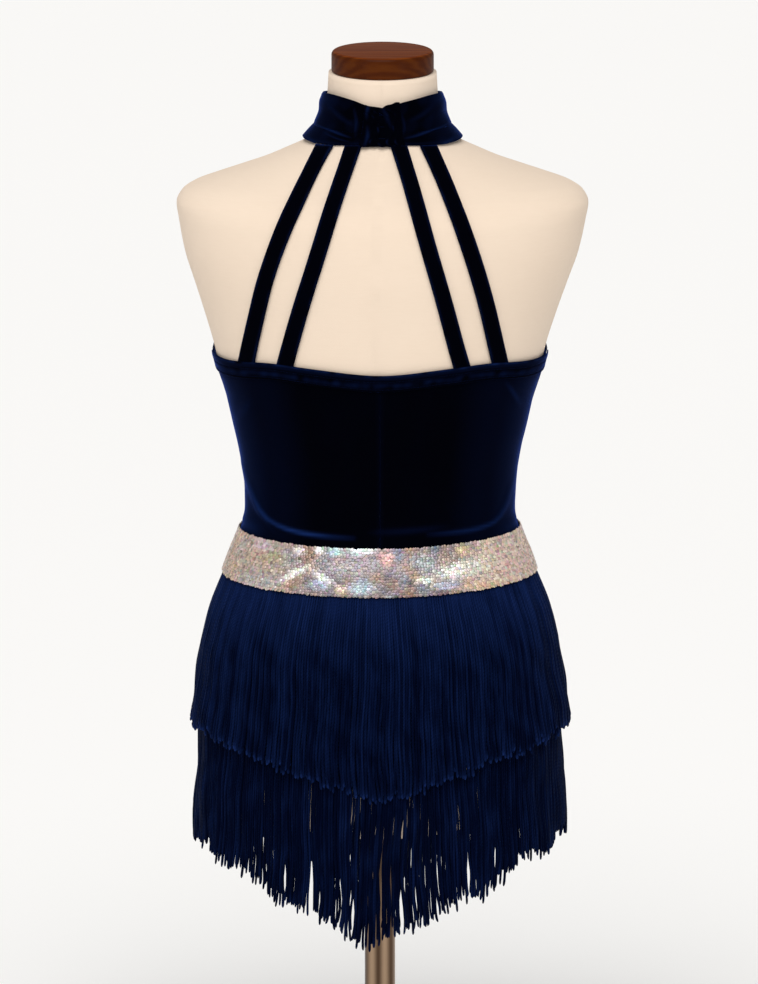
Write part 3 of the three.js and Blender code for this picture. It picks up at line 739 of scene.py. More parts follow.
def worn(angle: Array, z: Number, share: float = 1.0) -> Array:
    """Heights on a level belt, raised by a share of what the worn one is."""
    return z + share * belt_rise(FIGURE.bare(angle, z)[..., 0])


# ---------------------------------------------------------------- meshes


def add_object(name: str, data: bpy.types.ID) -> Object:
    """Puts data into the scene as an object."""
    made = bpy.data.objects.new(name, data)
    bpy.context.scene.collection.objects.link(made)
    return made


def make_piece(
    name: str,
    points: Array,
    faces: Array | list,
    finish: Finish,
    node: str = "",
    uv: Array | None = None,
    uv_map: str = "cloth",
    shades: tuple[str, Array] | None = None,
    smooth: bool = True,
) -> Object:
    """Makes a closed piece that rides on the part's body.

    Args:
        name: Its name.
        points: Its vertices.
        faces: Each face's vertex numbers.
        finish: Its finish.
        node: The CAD node that it replaces, if it does.
        uv: A map for each vertex, or for each face corner.
        uv_map: The map's name.
        shades: A colour attribute's name, and a grey or a colour for each vertex.
        smooth: Whether it is shaded smooth.

    Returns:
        The object.
    """
    mesh = bpy.data.meshes.new(name)
    mesh.from_pydata(points.reshape(-1, 3).tolist(), [], faces if isinstance(faces, list) else faces.tolist())
    mesh.polygons.foreach_set("use_smooth", np.full(len(mesh.polygons), smooth))
    if uv is not None:
        corners = np.empty(len(mesh.loops), int)
        mesh.loops.foreach_get("vertex_index", corners)
        per_corner = uv if len(uv) == len(corners) else uv[corners]
        mesh.uv_layers.new(name=uv_map).data.foreach_set("uv", per_corner.astype(np.float32).ravel())
    if shades is not None:
        rgba = np.ones((len(mesh.vertices), 4), np.float32)
        rgba[:, :3] = shades[1].reshape(len(rgba), -1)
        mesh.color_attributes.new(shades[0], "FLOAT_COLOR", "POINT").data.foreach_set("color", rgba.ravel())
    mesh.materials.append(finish.material())
    mesh.update()
    _face_out(mesh)
    made = add_object(name, mesh)
    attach(made, BODY)
    if node:
        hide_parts(node)
    LOG.info("%s: %d faces", name, len(mesh.polygons))
    return made


def _face_out(mesh: bpy.types.Mesh) -> None:
    """Turns a closed mesh's faces outwards if they point in.

    Args:
        mesh: The mesh.
    """
    mesh.calc_loop_triangles()
    corners = np.empty(len(mesh.loop_triangles) * 3, int)
    mesh.loop_triangles.foreach_get("vertices", corners)
    points = np.empty(len(mesh.vertices) * 3)
    mesh.vertices.foreach_get("co", points)
    a, b, c = points.reshape(-1, 3)[corners.reshape(-1, 3)].transpose(1, 0, 2)
    if np.einsum("ij,ij->i", a, np.cross(b, c)).sum() < 0:
        mesh.flip_normals()


def grid_faces(numbers: Array, ring: bool = False) -> Array:
    """The faces of a grid of points.

    Args:
        numbers: Each point's number, across and along.
        ring: Whether its last column joins its first.

    Returns:
        Four numbers a face.
    """
    if ring:
        numbers = np.concatenate([numbers, numbers[:1]])
    corners = numbers[:-1, :-1], numbers[1:, :-1], numbers[1:, 1:], numbers[:-1, 1:]
    return np.stack(corners, axis=-1).reshape(-1, 4)


def cloth_map(grid: Array) -> Array:
    """A map of a grid of points in metres, across and along, measured on its surface."""
    across = walked(grid)
    return np.stack([across - across.mean(axis=0), walked(grid, axis=1)], axis=-1).reshape(-1, 2)


def capped(grid: Array, ends: Array) -> tuple[Array, list]:
    """Closes rings of points by a fan of faces at each end.

    Args:
        grid: The points, round and along.
        ends: The two fans' centres.

    Returns:
        All points, and all faces.
    """
    n = np.arange(grid.size // 3).reshape(grid.shape[:2])
    after = np.roll(n, -1, axis=0)
    foot, top = np.full(len(n), n.size), np.full(len(n), n.size + 1)
    fans = np.stack([foot, after[:, 0], n[:, 0]], axis=1), np.stack([top, n[:, -1], after[:, -1]], axis=1)
    faces = grid_faces(n, ring=True).tolist() + np.concatenate(fans).tolist()
    return np.concatenate([grid.reshape(-1, 3), ends]), faces


def wall_piece(
    name: str, node: str, middle: Array, half_depth: Number, finish: Finish, ring: bool = False, nap: Number = 0.0
) -> Object:
    """Makes a closed cloth wall about a sheet of points.

    Args:
        name: Its name.
        node: The CAD node that it replaces, if it does.
        middle: The sheet, across and along.
        half_depth: Half the wall's thickness.
        finish: Its finish.
        ring: Whether its last column joins its first.
        nap: How much painted highlight lies at each point, from 0 to 1.

    Returns:
        The object.
    """
    shape = middle.shape[:2]
    if ring:
        by_column = np.gradient(np.pad(middle, ((1, 1), (0, 0), (0, 0)), mode="wrap"), axis=0)[1:-1]
    else:
        by_column = np.gradient(middle, axis=0)
    out = unit(np.cross(by_column, np.gradient(middle, axis=1))) * np.broadcast_to(half_depth, shape)[..., None]
    n = np.arange(2 * shape[0] * shape[1]).reshape(2, *shape)
    faces = [grid_faces(n[0], ring), grid_faces(n[1], ring)[:, ::-1]]
    faces += [grid_faces(n[:, :, 0].T, ring)[:, ::-1], grid_faces(n[:, :, -1].T, ring)]
    if not ring:
        faces += [grid_faces(n[:, 0].T), grid_faces(n[:, -1].T)[:, ::-1]]
    # painted highlight, kept in a colour attribute for each vertex
    painted_lit_pile = np.tile(np.clip(np.broadcast_to(nap, shape), 0, 1).ravel(), 2)
    uv = np.tile(cloth_map(middle), (2, 1))
    points, quads = np.stack([middle + out, middle - out]), np.concatenate(faces)[:, ::-1]
    return make_piece(name, points, quads, finish, node, uv, shades=("nap", painted_lit_pile))


def span(low: float, high: float, steps: int, edge: float = 0.0) -> Array:
    """Places from low to high, crowded together near both ends where an edge's width is given.

    Args:
        low: The first place.
        high: The last.
        steps: How many equal steps it has between its edges.
        edge: The width of each edge, in the same measure.

    Returns:
        The places.
    """
    if not edge:
        return np.linspace(low, high, steps + 1)
    rim = edge * np.array([0.0, 0.08, 0.3, 0.62])
    return np.concatenate([low + rim, np.linspace(low + edge, high - edge, steps + 1), high - rim[::-1]])


def rounded(distance: Array, radius: float, least: float = 0.04) -> Array:
    """The share of a wall's thickness at a distance from its edge, for an edge that is rounded off."""
    t = 1 - np.clip(distance / radius, 0, 1)
    return np.maximum(np.sqrt(np.clip(1 - t**2, 0, 1)), least)


def edge_share(u: Array, v: Array, radius: float, reach: float, height: float = 1.0) -> Array:
    """A wall's thickness share over its grid, rounded off along all four of its edges.

    Args:
        u: Its columns' places.
        v: Its rows' places.
        radius: The rounding's radius.
        reach: What 1 measures across it, in metres.
        height: What 1 measures along it.

    Returns:
        An array of shares.
    """
    return rounded(from_ends(u) * reach, radius)[:, None] * rounded(from_ends(v) * height, radius)[None, :]


def ring_band(
    name: str,
    node: str,
    finish: Finish,
    heights: Array,
    around: int,
    reach: Callable[[Array], Number],
    half: float,
    radius: float,
    rise: float = 1.0,
) -> Object:
    """Makes a level band all round the form, raised as the belt is.

    Args:
        name: Its name.
        node: The CAD node that it replaces, if it does.
        finish: Its finish.
        heights: Its rows' heights.
        around: How many columns it has.
        reach: How far out from the form its middle lies at a height.
        half: Half its thickness.
        radius: Its edges' rounding.
        rise: The share of the belt's rise that it takes.

    Returns:
        The object.
    """
    angle, z = np.meshgrid(np.arange(around) / around * TURN, heights, indexing="ij")
    grid = FIGURE.lay(angle, worn(angle, z, rise), reach(z))
    return wall_piece(name, node, grid, half * rounded(from_ends(heights), radius), finish, ring=True)


class Fold(NamedTuple):
    """A soft ridge in cloth along a line of places (x, z), with its width and rise, all in mm, and the painted
    highlight along its top.
    """

    path: tuple[Pair, ...]
    width: float
    rise: float
    nap: float = 0.0


def fold_cloth(folds: Sequence[Fold], x: Array, z: Array) -> tuple[Array, Array]:
    """How far some folds lift a cloth, and how much painted highlight lies along them.

    Args:
        folds: The folds.
        x: Where.
        z: Where.

    Returns:
        The lift in metres, with a slight valley along one side of each ridge, and the painted highlight from 0 to 1.
    """
    shape = np.broadcast_shapes(np.shape(x), np.shape(z))
    lift, nap = np.zeros(shape), np.zeros(shape)
    for fold in folds:
        knots = np.array(fold.path) * MM
        places = walked(knots)
        steps = np.linspace(0, places[-1], 14)
        points = np.stack([Curve(places, knots[:, k])(steps) for k in (0, 1)], axis=1)
        lengths = np.linalg.norm(np.diff(points, axis=0), axis=1)
        nearest, aside, share = np.full(shape, np.inf), np.zeros(shape), np.zeros(shape)
        for k, (start, length) in enumerate(zip(points[:-1], lengths)):
            way = (points[k + 1] - start) / length
            dx, dz = x - start[0], z - start[1]
            held = np.clip(dx * way[0] + dz * way[1], 0, length)
            off = np.hypot(dx - held * way[0], dz - held * way[1])
            nearer = off < nearest
            nearest = np.where(nearer, off, nearest)
            aside = np.where(nearer, off * np.sign(dz * way[0] - dx * way[1]), aside)
            share = np.where(nearer, (lengths[:k].sum() + held) / lengths.sum(), share)
        width = fold.width * MM
        fade = np.sin(np.pi * np.clip(0.06 + 0.88 * share, 0, 1))
        valley = 0.4 * bell(aside, -1.6 * width, width) * (nearest < 4 * width)
        lift += fold.rise * MM * (bell(nearest, 0, width) - valley) * fade
        # painted highlight along each ridge's top, where light would catch the crease
        nap += fold.nap * bell(aside, 0.15 * width, 0.62 * width) * fade * (nearest < 3 * width)
    return lift, nap


def ripples(x: Array, y: Number, seed: int, size: float, layers: int = 5) -> Array:
    """Smooth unevenness, the same each run.

    Args:
        x: Where.
        y: Where.
        seed: What it starts from.
        size: The size of its features.
        layers: How many waves it has.

    Returns:
        The unevenness, between about -1 and 1.
    """
    chance = np.random.default_rng(SEED + seed)
    total = np.zeros(np.broadcast_shapes(np.shape(x), np.shape(y)))
    for _ in range(layers):
        turn, phase, stretch = chance.uniform(0, TURN), chance.uniform(0, TURN), chance.uniform(0.7, 1.5)
        total += np.sin((x * math.cos(turn) + y * math.sin(turn)) * (TURN / (size * stretch)) + phase)
    return total / math.sqrt(layers)


class Stitch(NamedTuple):
    """A row's stitches: from one to the next, a stitch's length and its thickness."""

    pitch: float
    length: float
    thread: float


def stitch_row(name: str, points: Array, normals: Array, stitch: Stitch) -> None:
    """Makes a row of short stitches along a line.

    Args:
        name: The piece's name.
        points: The line's points, on the cloth.
        normals: The cloth's outward normals there.
        stitch: Its stitches.
    """
    way = walked(points)
    places = np.arange(stitch.pitch / 2, way[-1], stitch.pitch)

    def at(values: Array, shift: float) -> Array:
        """The values a shift past each stitch's middle."""
        return np.stack([np.interp(places + shift, way, values[:, k]) for k in range(3)], axis=1)

    out = at(normals, 0.0)
    along = unit(at(points, stitch.thread) - at(points, -stitch.thread))
    t = np.linspace(-1, 1, 5)[None, :, None]
    paths = at(points, 0.0)[:, None] + along[:, None] * (t * stitch.length / 2)
    paths = paths + out[:, None] * ((1 - t**2) * stitch.thread * 0.55)
    radii = np.broadcast_to(stitch.thread / 2 * np.array([0.35, 0.9, 1.0, 0.9, 0.35]), paths.shape[:2])
    tubes(name, "", paths, radii, (out, np.cross(out, along)), 5, THREAD)


def tubes(
    name: str,
    node: str,
    paths: Array,
    radii: Array,
    directions: tuple[Array, Array],
    sides: int,
    finish: Finish,
    tone: Array | None = None,
) -> Object:
    """Makes many closed tubes in one piece.

    Args:
        name: The piece's name.
        node: The CAD node that it replaces, if it does.
        paths: Their points, (tube, step, 3).
        radii: Their radii, (tube, step).
        directions: Two directions across each tube.
        sides: How many sides a tube has.
        finish: Their finish.
        tone: A shade for each point of each path, from 0 to 1.

    Returns:
        The object, with the length along each tube in its map "strand".
    """
    count, steps = paths.shape[:2]
    turn = (np.arange(sides) / sides * TURN)[None, :, None]
    ring = np.cos(turn) * directions[0][:, None] + np.sin(turn) * directions[1][:, None]
    points = paths[:, :, None] + ring[:, None] * radii[:, :, None, None]
    n = np.arange(count * steps * sides).reshape(count, steps, sides)
    after = np.roll(n, -1, axis=2)
    quads = np.stack([n[:, :-1], after[:, :-1], after[:, 1:], n[:, 1:]], axis=-1).reshape(-1, 4)
    caps = np.concatenate([n[:, 0, ::-1], n[:, -1]])
    at = np.broadcast_to(np.arange(sides), n[:, 1:].shape)
    way = np.broadcast_to(walked(paths, 1)[..., None], n.shape)
    low, high = way[:, :-1], way[:, 1:]
    u, v = np.stack([at, at + 1, at + 1, at], axis=-1) / sides, np.stack([low, low, high, high], axis=-1)
    uv = np.concatenate([np.stack([u.ravel(), v.ravel()], axis=1), np.zeros((caps.size, 2))])
    shades = None if tone is None else ("tone", np.repeat(tone.reshape(-1), sides))
    return make_piece(name, points, quads.tolist() + caps.tolist(), finish, node, uv, "strand", shades)


# ---------------------------------------------------------------- dress form


@dataclass
class DressForm:
    """The limbless form, its neck cap and its stand."""

    around: int = 200
    rows: int = 200
    seam_depth: float = 0.55 * MM
    seam_width: float = 0.9 * MM
    side_seam_from: float = 0.05
    seam_top: float = 0.957
    cap_radius: float = 0.047
    cap_height: float = 0.0198
    cap_sink: float = 1.4 * MM
    cap_rounding: float = 0.004
    cap_foot_rounding: float = 0.002
    pole_radius: float = 0.014
    pole_inside: float = 0.0397
    base_radius: float = 0.165
    base_thickness: float = 0.010
    base_rounding: float = 0.004
    boss_radius: float = 0.023
    boss_height: float = 0.030
    boss_rounding: float = 0.002
    boss_fillet: float = 0.003
    play: float = 0.3 * MM

    def build(self) -> None:
        """Builds the form and its stand."""
        self._torso()
        self._cap()
        self._stand()

    def _torso(self) -> None:
        """The hard torso, with its cover's seams sunk into it at the centres and along the sides."""
        angle = np.arange(self.around) / self.around * TURN + BACK
        drops = Curve(np.linspace(0, 1, len(FIGURE.drops)), FIGURE.drops)(np.linspace(0, 1, self.rows))
        angle, z = np.meshgrid(angle, FIGURE.height - drops, indexing="ij")
        x, y, _ = np.moveaxis(FIGURE.bare(angle, z), -1, 0)
        side = bell(y, 0, self.seam_width) * (np.abs(x) > self.side_seam_from)
        seam = self.seam_depth * np.maximum(bell(x, 0, self.seam_width), side) * (z < self.seam_top)
        grid = FIGURE.lay(angle, z, -seam)
        points, faces = capped(grid, np.stack([grid[:, 0].mean(axis=0), grid[:, -1].mean(axis=0)]))
        uv = np.concatenate([cloth_map(grid), np.zeros((2, 2))])
        make_piece("form_cover", points, faces, Calico(), "form_torso", uv)

    def _cap(self) -> None:
        """The turned cap on the neck."""
        radius, top = self.cap_radius, FIGURE.height - self.cap_sink
        foot, low, high = top - self.cap_height, self.cap_foot_rounding, self.cap_rounding
        sides = [*arc((radius - low, foot + low), low, 3), *arc((radius - high, top - high), high, 0)]
        axis = (FIGURE.lean, float(FIGURE.section(FIGURE.height).middle))
        turned("neck_cap_turned", "neck_cap", [(0.0, foot), *sides, (0.0, top)], axis, Walnut())

    def _stand(self) -> None:
        """The pole, from the base into the form, and the round base with the boss that the pole stands in."""
        pole, seat = self.pole_radius, self.base_thickness
        foot, top = seat + self.play, FIGURE.bottom + self.pole_inside
        profile = [(0.0, foot), (pole, foot), (pole, top), (0.0, top)]
        turned("pole_plated", "pole", profile, (0.0, 0.0), Bronze())
        bore, boss_top, rim = pole + self.play, seat + self.boss_height, self.base_rounding
        edge = arc((self.base_radius - rim, seat - rim), rim, 0, 6)
        fillet = arc((self.boss_radius + self.boss_fillet, seat + self.boss_fillet), self.boss_fillet, 2, 4)[::-1]
        boss = arc((self.boss_radius - self.boss_rounding, boss_top - self.boss_rounding), self.boss_rounding, 0, 4)
        underside, socket = [(0.0, 0.0), (self.base_radius, 0.0)], [(bore, boss_top), (bore, seat), (0.0, seat)]
        profile = [*underside, *edge, *fillet, *boss, *socket]
        turned("stand_base_plated", "stand_base", profile, (0.0, 0.0), BASE_BRONZE)


def arc(centre: Pair, radius: float, from_quarter: int, steps: int = 5) -> list[Pair]:
    """The points of a quarter round.

    Args:
        centre: Its centre, as radius and height.
        radius: Its own radius.
        from_quarter: Where it starts, in quarter turns from outwards.
        steps: How many steps it has.

    Returns:
        Its points.
    """
    turns = (from_quarter + np.linspace(0, 1, steps + 1)) * (TURN / 4)
    return [(centre[0] + radius * math.cos(t), centre[1] + radius * math.sin(t)) for t in turns]


def turned(name: str, node: str, profile: Sequence[Pair], axis: Pair, finish: Finish, around: int = 96) -> None:
    """Makes a turned piece about an upright axis, with its sharp corners kept.

    Args:
        name: Its name.
        node: The CAD node that it replaces.
        profile: Radius and height, from the axis back to it.
        axis: The axis's x and y.
        finish: Its finish.
        around: How many sides it has.
    """
    turn = np.arange(around) / around * TURN
    rings = [[(axis[0] + r * math.cos(t), axis[1] + r * math.sin(t), z) for r, z in profile[1:-1]] for t in turn]
    points, faces = capped(np.array(rings), np.array([(*axis, profile[end][1]) for end in (0, -1)]))
    made = make_piece(name, points, faces, finish, node)
    made.data.set_sharp_from_angle(angle=math.radians(40))


# ---------------------------------------------------------------- bodice


class Side(Enum):
    """The wearer's left or right, as the sign of x."""

    LEFT = -1
    RIGHT = 1


@dataclass
class Bodice:
    """The velvet bodice: two back panels, the halter front, the band along the back's edge and the hips."""

    waist_z: float = 0.520
    back_edge_z: float = 0.7004
    edge_dip: float = 4.3 * MM
    edge_dip_reach: float = 0.065
    hem_z: float = 0.385
    underarm_z: float = 0.7005
    yoke_z: float = 0.860
    strap_pull: float = 4 * MM
    strap_pull_x: float = 0.100
    strap_pull_spread: float = 0.034
    band_width: float = 0.0155
    band_over: float = 0.4 * MM
    band_rows: Pair = (0.0060, 0.0132)
    belt_ease_z: Pair = (0.5335, 0.5395)
    edge: float = 0.9 * MM
    side_edge: float = 0.008
    radian: float = 0.11
    front_reach: float = 0.28
    pucker_pitch: float = 0.0085
    band_stitch: Stitch = Stitch(2.9 * MM, 2.3 * MM, 0.5 * MM)
    armhole_stitch: Stitch = Stitch(3.0 * MM, 2.2 * MM, 0.45 * MM)
    armhole_inset: float = 0.005
    folds: tuple[Fold, ...] = (
        Fold(((-124, 596), (-113, 566), (-100, 551), (-78, 544), (-50, 541.4), (-24, 540.4)), 3.0, 1.5, 0.62),
        Fold(((-92, 546.5), (-70, 542.8), (-46, 541.2)), 1.9, 0.3, 0.45),
        Fold(((-118, 566), (-104, 550), (-96, 541)), 3.4, 0.9, 0.08),
        Fold(((-132, 546), (-122, 541), (-110, 539)), 7.5, 0.5, 0.22),
        Fold(((119, 582), (113, 562), (102, 549), (80, 545), (44, 544)), 2.9, 1.4, 0.40),
        Fold(((132, 546), (123, 542), (112, 540)), 7.0, 0.5, 0.14),
        Fold(((114, 684), (119, 676), (127, 659)), 2.8, 0.9, 0.22),
        Fold(((-118, 668), (-126, 646)), 4.0, 0.9, 0.08),
        Fold(((60, 551), (20, 548), (-8, 547)), 4.5, 0.6, 0.1),
    )
    front_folds: tuple[Fold, ...] = (
        Fold(((114, 566), (98, 548), (52, 543)), 4.0, 1.5, 0.3),
        Fold(((-112, 580), (-96, 556), (-62, 545)), 4.2, 1.7, 0.4),
        Fold(((-34, 549), (4, 544), (46, 542)), 3.6, 1.0, 0.25),
        Fold(((122, 664), (106, 682), (88, 692)), 5.0, 1.1, 0.15),
        Fold(((-122, 658), (-108, 680), (-92, 692)), 4.6, 1.3, 0.2),
        Fold(((-60, 604), (-30, 598), (-6, 601)), 6.0, 0.6, 0.08),
    )
    armhole: tuple[Pair, ...] = (
        (0.7005, 0), (0.7035, 8), (0.709, 16), (0.717, 24), (0.7275, 31), (0.741, 38), (0.757, 44), (0.780, 51),
        (0.811, 58), (0.841, 62.7), (0.852, 63), (0.860, 62.3), (0.867, 60), (0.875, 55.4), (0.882, 49.8),
        (0.890, 42.7), (0.897, 35),
    )  # fmt: skip

    def build(self) -> None:
        """Builds the bodice."""
        for side in Side:
            self._back_panel(side)
        self._front()
        self._band()
        self._hips("lower_back", "hip_back", -math.pi)
        self._hips("lower_front", "hip_front", 0.0)

    def back_edge(self, x: Array) -> Array:
        """The height of the back's top edge, lifted where the straps pull and lower between them."""
        pull = self.strap_pull * bell(np.abs(x), self.strap_pull_x, self.strap_pull_spread)
        return self.back_edge_z + pull - self.edge_dip * (1 - smoothstep(np.abs(x), 0.0, self.edge_dip_reach))

    def _above_belt(self, x: Array, z: Array) -> Array:
        """0 where the belt holds the cloth down, 1 above it."""
        return smoothstep(z - belt_rise(x), *self.belt_ease_z)

    def lift(self, x: Array, z: Array) -> Array:
        """How far the back's cloth stands off where it is creased or soft.

        Args:
            x: Where.
            z: Where.

        Returns:
            The distance.
        """
        below_band = 1 - 0.6 * smoothstep(z, self.back_edge_z - 0.03, self.back_edge_z - 0.012)
        soft = np.maximum(ripples(x, z, 3, 0.075) * 0.35 * MM, -0.3 * MM) * below_band
        return self._above_belt(x, z) * (fold_cloth(self.folds, x, z)[0] + soft)

    @staticmethod
    def _side_painted_sheen(x: Array, z: Array) -> Array:
        """Painted sheen: how much lighter the pile is painted toward the sides, where light grazes it."""
        reach = np.abs(x) / FIGURE.section(z).half
        return 0.055 * smoothstep(reach, 0.45, 0.75) + 0.11 * smoothstep(reach, 0.78, 0.97)

    def _back_panel(self, side: Side) -> None:
        """One half of the back, from the waist seam to the top edge.

        Args:
            side: Which half.
        """
        near, far = (BACK + side.value * place for place in (SEAM_TURN, math.pi / 2 - SEAM_TURN))
        height = 0.18
        u = span(min(near, far), max(near, far), 100, self.side_edge)
        v = span(0.0, 1.0, 84, self.edge / height)
        angle, share = np.meshgrid(u, v, indexing="ij")
        top = self.back_edge(FIGURE.bare(angle, self.back_edge_z)[..., 0])
        z = self.waist_z + (top - self.waist_z) * share
        x = FIGURE.bare(angle, z)[..., 0]
        from_seam = np.abs(x)
        pucker = np.sin(z * (TURN / self.pucker_pitch)) * 0.12 * MM * np.exp(-from_seam / 0.006)
        seam = pucker - 0.45 * MM * bell(from_seam, 0, 0.0018)
        # painted highlight: crease highlights, sheen toward the sides and a faint light line along the centre-back seam
        nap = fold_cloth(self.folds, x, z)[1] + self._side_painted_sheen(x, z) + 0.025 * bell(from_seam, 0, 0.0022)
        grid = FIGURE.lay(angle, z, LAYERS.clearance + LAYERS.panel / 2 + self.lift(x, z) + seam)
        half_depth = LAYERS.panel / 2 * edge_share(u, v, self.edge, self.radian, height)
        name = side.name.lower()
        piece = wall_piece(f"back_panel_{name}", f"bodice_back_{name}", grid, half_depth, VELVET, nap=nap)

    def _front(self) -> None:
        """The halter front, from side seam to side seam and up to the collar."""
        places, degrees = np.array(self.armhole).T
        upper = Curve(np.linspace(0, 1, len(places)), places)(np.linspace(0, 1, 90))
        rows = np.concatenate([np.linspace(self.waist_z, self.underarm_z, 60)[:-1], upper])
        edge = np.where(rows > self.underarm_z, Curve(places, np.radians(degrees))(rows), 0.0)
        edge = np.maximum(edge, SEAM_TURN)[None, :]
        u = span(0.0, 1.0, 120, self.edge / 0.30)
        across, row = np.meshgrid(u, rows, indexing="ij")
        angle = edge + (math.pi - 2 * edge) * across
        bend = np.clip(row - self.yoke_z, 0, None) / (places[-1] - self.yoke_z)
        z = np.where(bend > 0, self.yoke_z + (self._neck_seam(angle) - self.yoke_z) * bend, row)
        x = FIGURE.bare(angle, z)[..., 0]
        lift, nap = fold_cloth(self.front_folds, x, z)
        lift = lift + np.maximum(ripples(x, z, 8, 0.08) * 0.3 * MM, -0.25 * MM)
        stand_off = LAYERS.chest * smoothstep(row, self.underarm_z - 0.045, self.underarm_z)
        out = LAYERS.clearance + stand_off + LAYERS.panel / 2 + lift * self._above_belt(x, z)
        grid = FIGURE.lay(angle, z, out)[::-1]
        half_depth = LAYERS.panel / 2 * edge_share(u, rows, self.edge, self.front_reach)[::-1]
        # painted highlight along the armhole edges, where the rolled edge catches light, plus the crease highlights and
        # painted sheen toward the sides
        on_edge = 0.35 * bell(from_ends(u) * self.front_reach, 0.0012, 0.0012)[:, None]
        nap = nap + on_edge * smoothstep(row, self.underarm_z, self.underarm_z + 0.01) + self._side_painted_sheen(x, z)
        piece = wall_piece("halter_front", "bodice_front", grid, half_depth, VELVET, nap=nap[::-1])
        self._armhole_stitches(Side.RIGHT, grid[::-1, rows >= self.underarm_z])
        self._armhole_stitches(Side.LEFT, grid[:, rows >= self.underarm_z])

    def _armhole_stitches(self, side: Side, grid: Array) -> None:
        """A row of stitches along an armhole, a little in from its edge.

        Args:
            side: Whose armhole.
            grid: The front's points beside it, from its edge inwards.
        """
        at = np.argmax(walked(grid)[1:] > self.armhole_inset, axis=0) + 1
        line = grid[at, np.arange(grid.shape[1])]
        out = FIGURE.normal(np.arctan2(line[:, 1], line[:, 0]), np.clip(line[:, 2], 0.6, 0.9))
        line = line + out * (LAYERS.panel / 2 + 0.05 * MM)
        stitch_row(f"armhole_stitches_{side.name.lower()}", line, out, self.armhole_stitch)

    @staticmethod
    def _neck_seam(angle: Array) -> Array:
        """The height on the form at which the front, laid on it, comes up to the collar's foot.

        Args:
            angle: The places' angles.

        Returns:
            Their heights.
        """
        round_front = np.linspace(math.pi, 0, 181)
        foot = COLLAR.point(round_front, np.zeros(181), np.full(181, -LAYERS.collar / 2))

        def at_foot(z: Array) -> Array:
            """Whether the cloth there has come up to the collar."""
            x, _, height = np.moveaxis(FIGURE.lay(angle, z, LAYERS.clearance + LAYERS.chest + LAYERS.panel / 2), -1, 0)
            return height > np.interp(x, foot[:, 0], foot[:, 2]) + 1.0 * MM

        return neck_height(at_foot, angle.shape)

    def _band(self) -> None:
        """The band along the back's top edge, with its two rows of stitches."""
        u = span(-math.pi + SEAM_TURN, -SEAM_TURN, 220, self.side_edge)
        below = span(0.0, self.band_width, 22, self.edge)
        angle, down = np.meshgrid(u, below, indexing="ij")
        x = FIGURE.bare(angle, self.back_edge_z)[..., 0]
        z = self.back_edge(x) + self.band_over - down
        first, last = self.band_rows
        channel = sum(bell(down, row, 0.5 * MM) for row in self.band_rows)
        swell = 0.35 * MM * np.sin(np.pi * np.clip(down / first, 0, 1))
        pucker = np.sin(angle * 150) * 0.07 * MM * bell(down, last, 0.002)
        lift = self.lift(x, z) + swell + pucker - 0.35 * MM * channel
        grid = FIGURE.lay(angle, z, LAYERS.on_panel + LAYERS.band / 2 + lift)[:, ::-1]
        # painted highlights along the band's top edge and its ridges, uneven along their length
        sheen_unevenness = 0.75 + 0.5 * ripples(x, z, 52, 0.012)
        nap = (0.34 * bell(down, 0.0008, 0.0009) + 0.16 * bell(down, 0.0100, 0.0026)) * sheen_unevenness
        nap = (nap + 0.10 * bell(down, 0.0030, 0.0016))[:, ::-1]
        half_depth = LAYERS.band / 2 * edge_share(u, below, 0.7 * MM, self.radian)[:, ::-1]
        piece = wall_piece("back_edge_binding", "back_edge_band", grid, half_depth, VELVET, nap=nap)
        for number, row in enumerate(self.band_rows):
            z = self.back_edge(x[:, 0]) + self.band_over - row
            line = FIGURE.lay(u, z, LAYERS.on_panel + LAYERS.band - 0.25 * MM + self.lift(x[:, 0], z))
            stitch_row(f"band_stitches_{number + 1}", line, FIGURE.normal(u, z), self.band_stitch)

    def _hips(self, name: str, node: str, start: float) -> None:
        """Half of the lower body that the fringe is sewn to.

        Args:
            name: Its name.
            node: The CAD node that it replaces.
            start: The angle that it starts from.
        """
        u = span(start + SEAM_TURN, start + math.pi - SEAM_TURN, 90, self.side_edge)
        heights = span(self.hem_z, self.waist_z - LAYERS.seam, 44, self.edge)
        grid = FIGURE.lay(*np.meshgrid(u, heights, indexing="ij"), LAYERS.clearance + LAYERS.panel / 2)
        half_depth = LAYERS.panel / 2 * edge_share(u, heights, self.edge, self.radian)
        piece = wall_piece(name, node, grid, half_depth, VELVET)


# ---------------------------------------------------------------- straps


class Strap(NamedTuple):
    """A back strap: where its middle leaves the back's edge and meets the collar, its bow and the bow's skew, in mm."""

    name: str
    lower_x: float
    upper_x: float
    bow: float
    skew: float


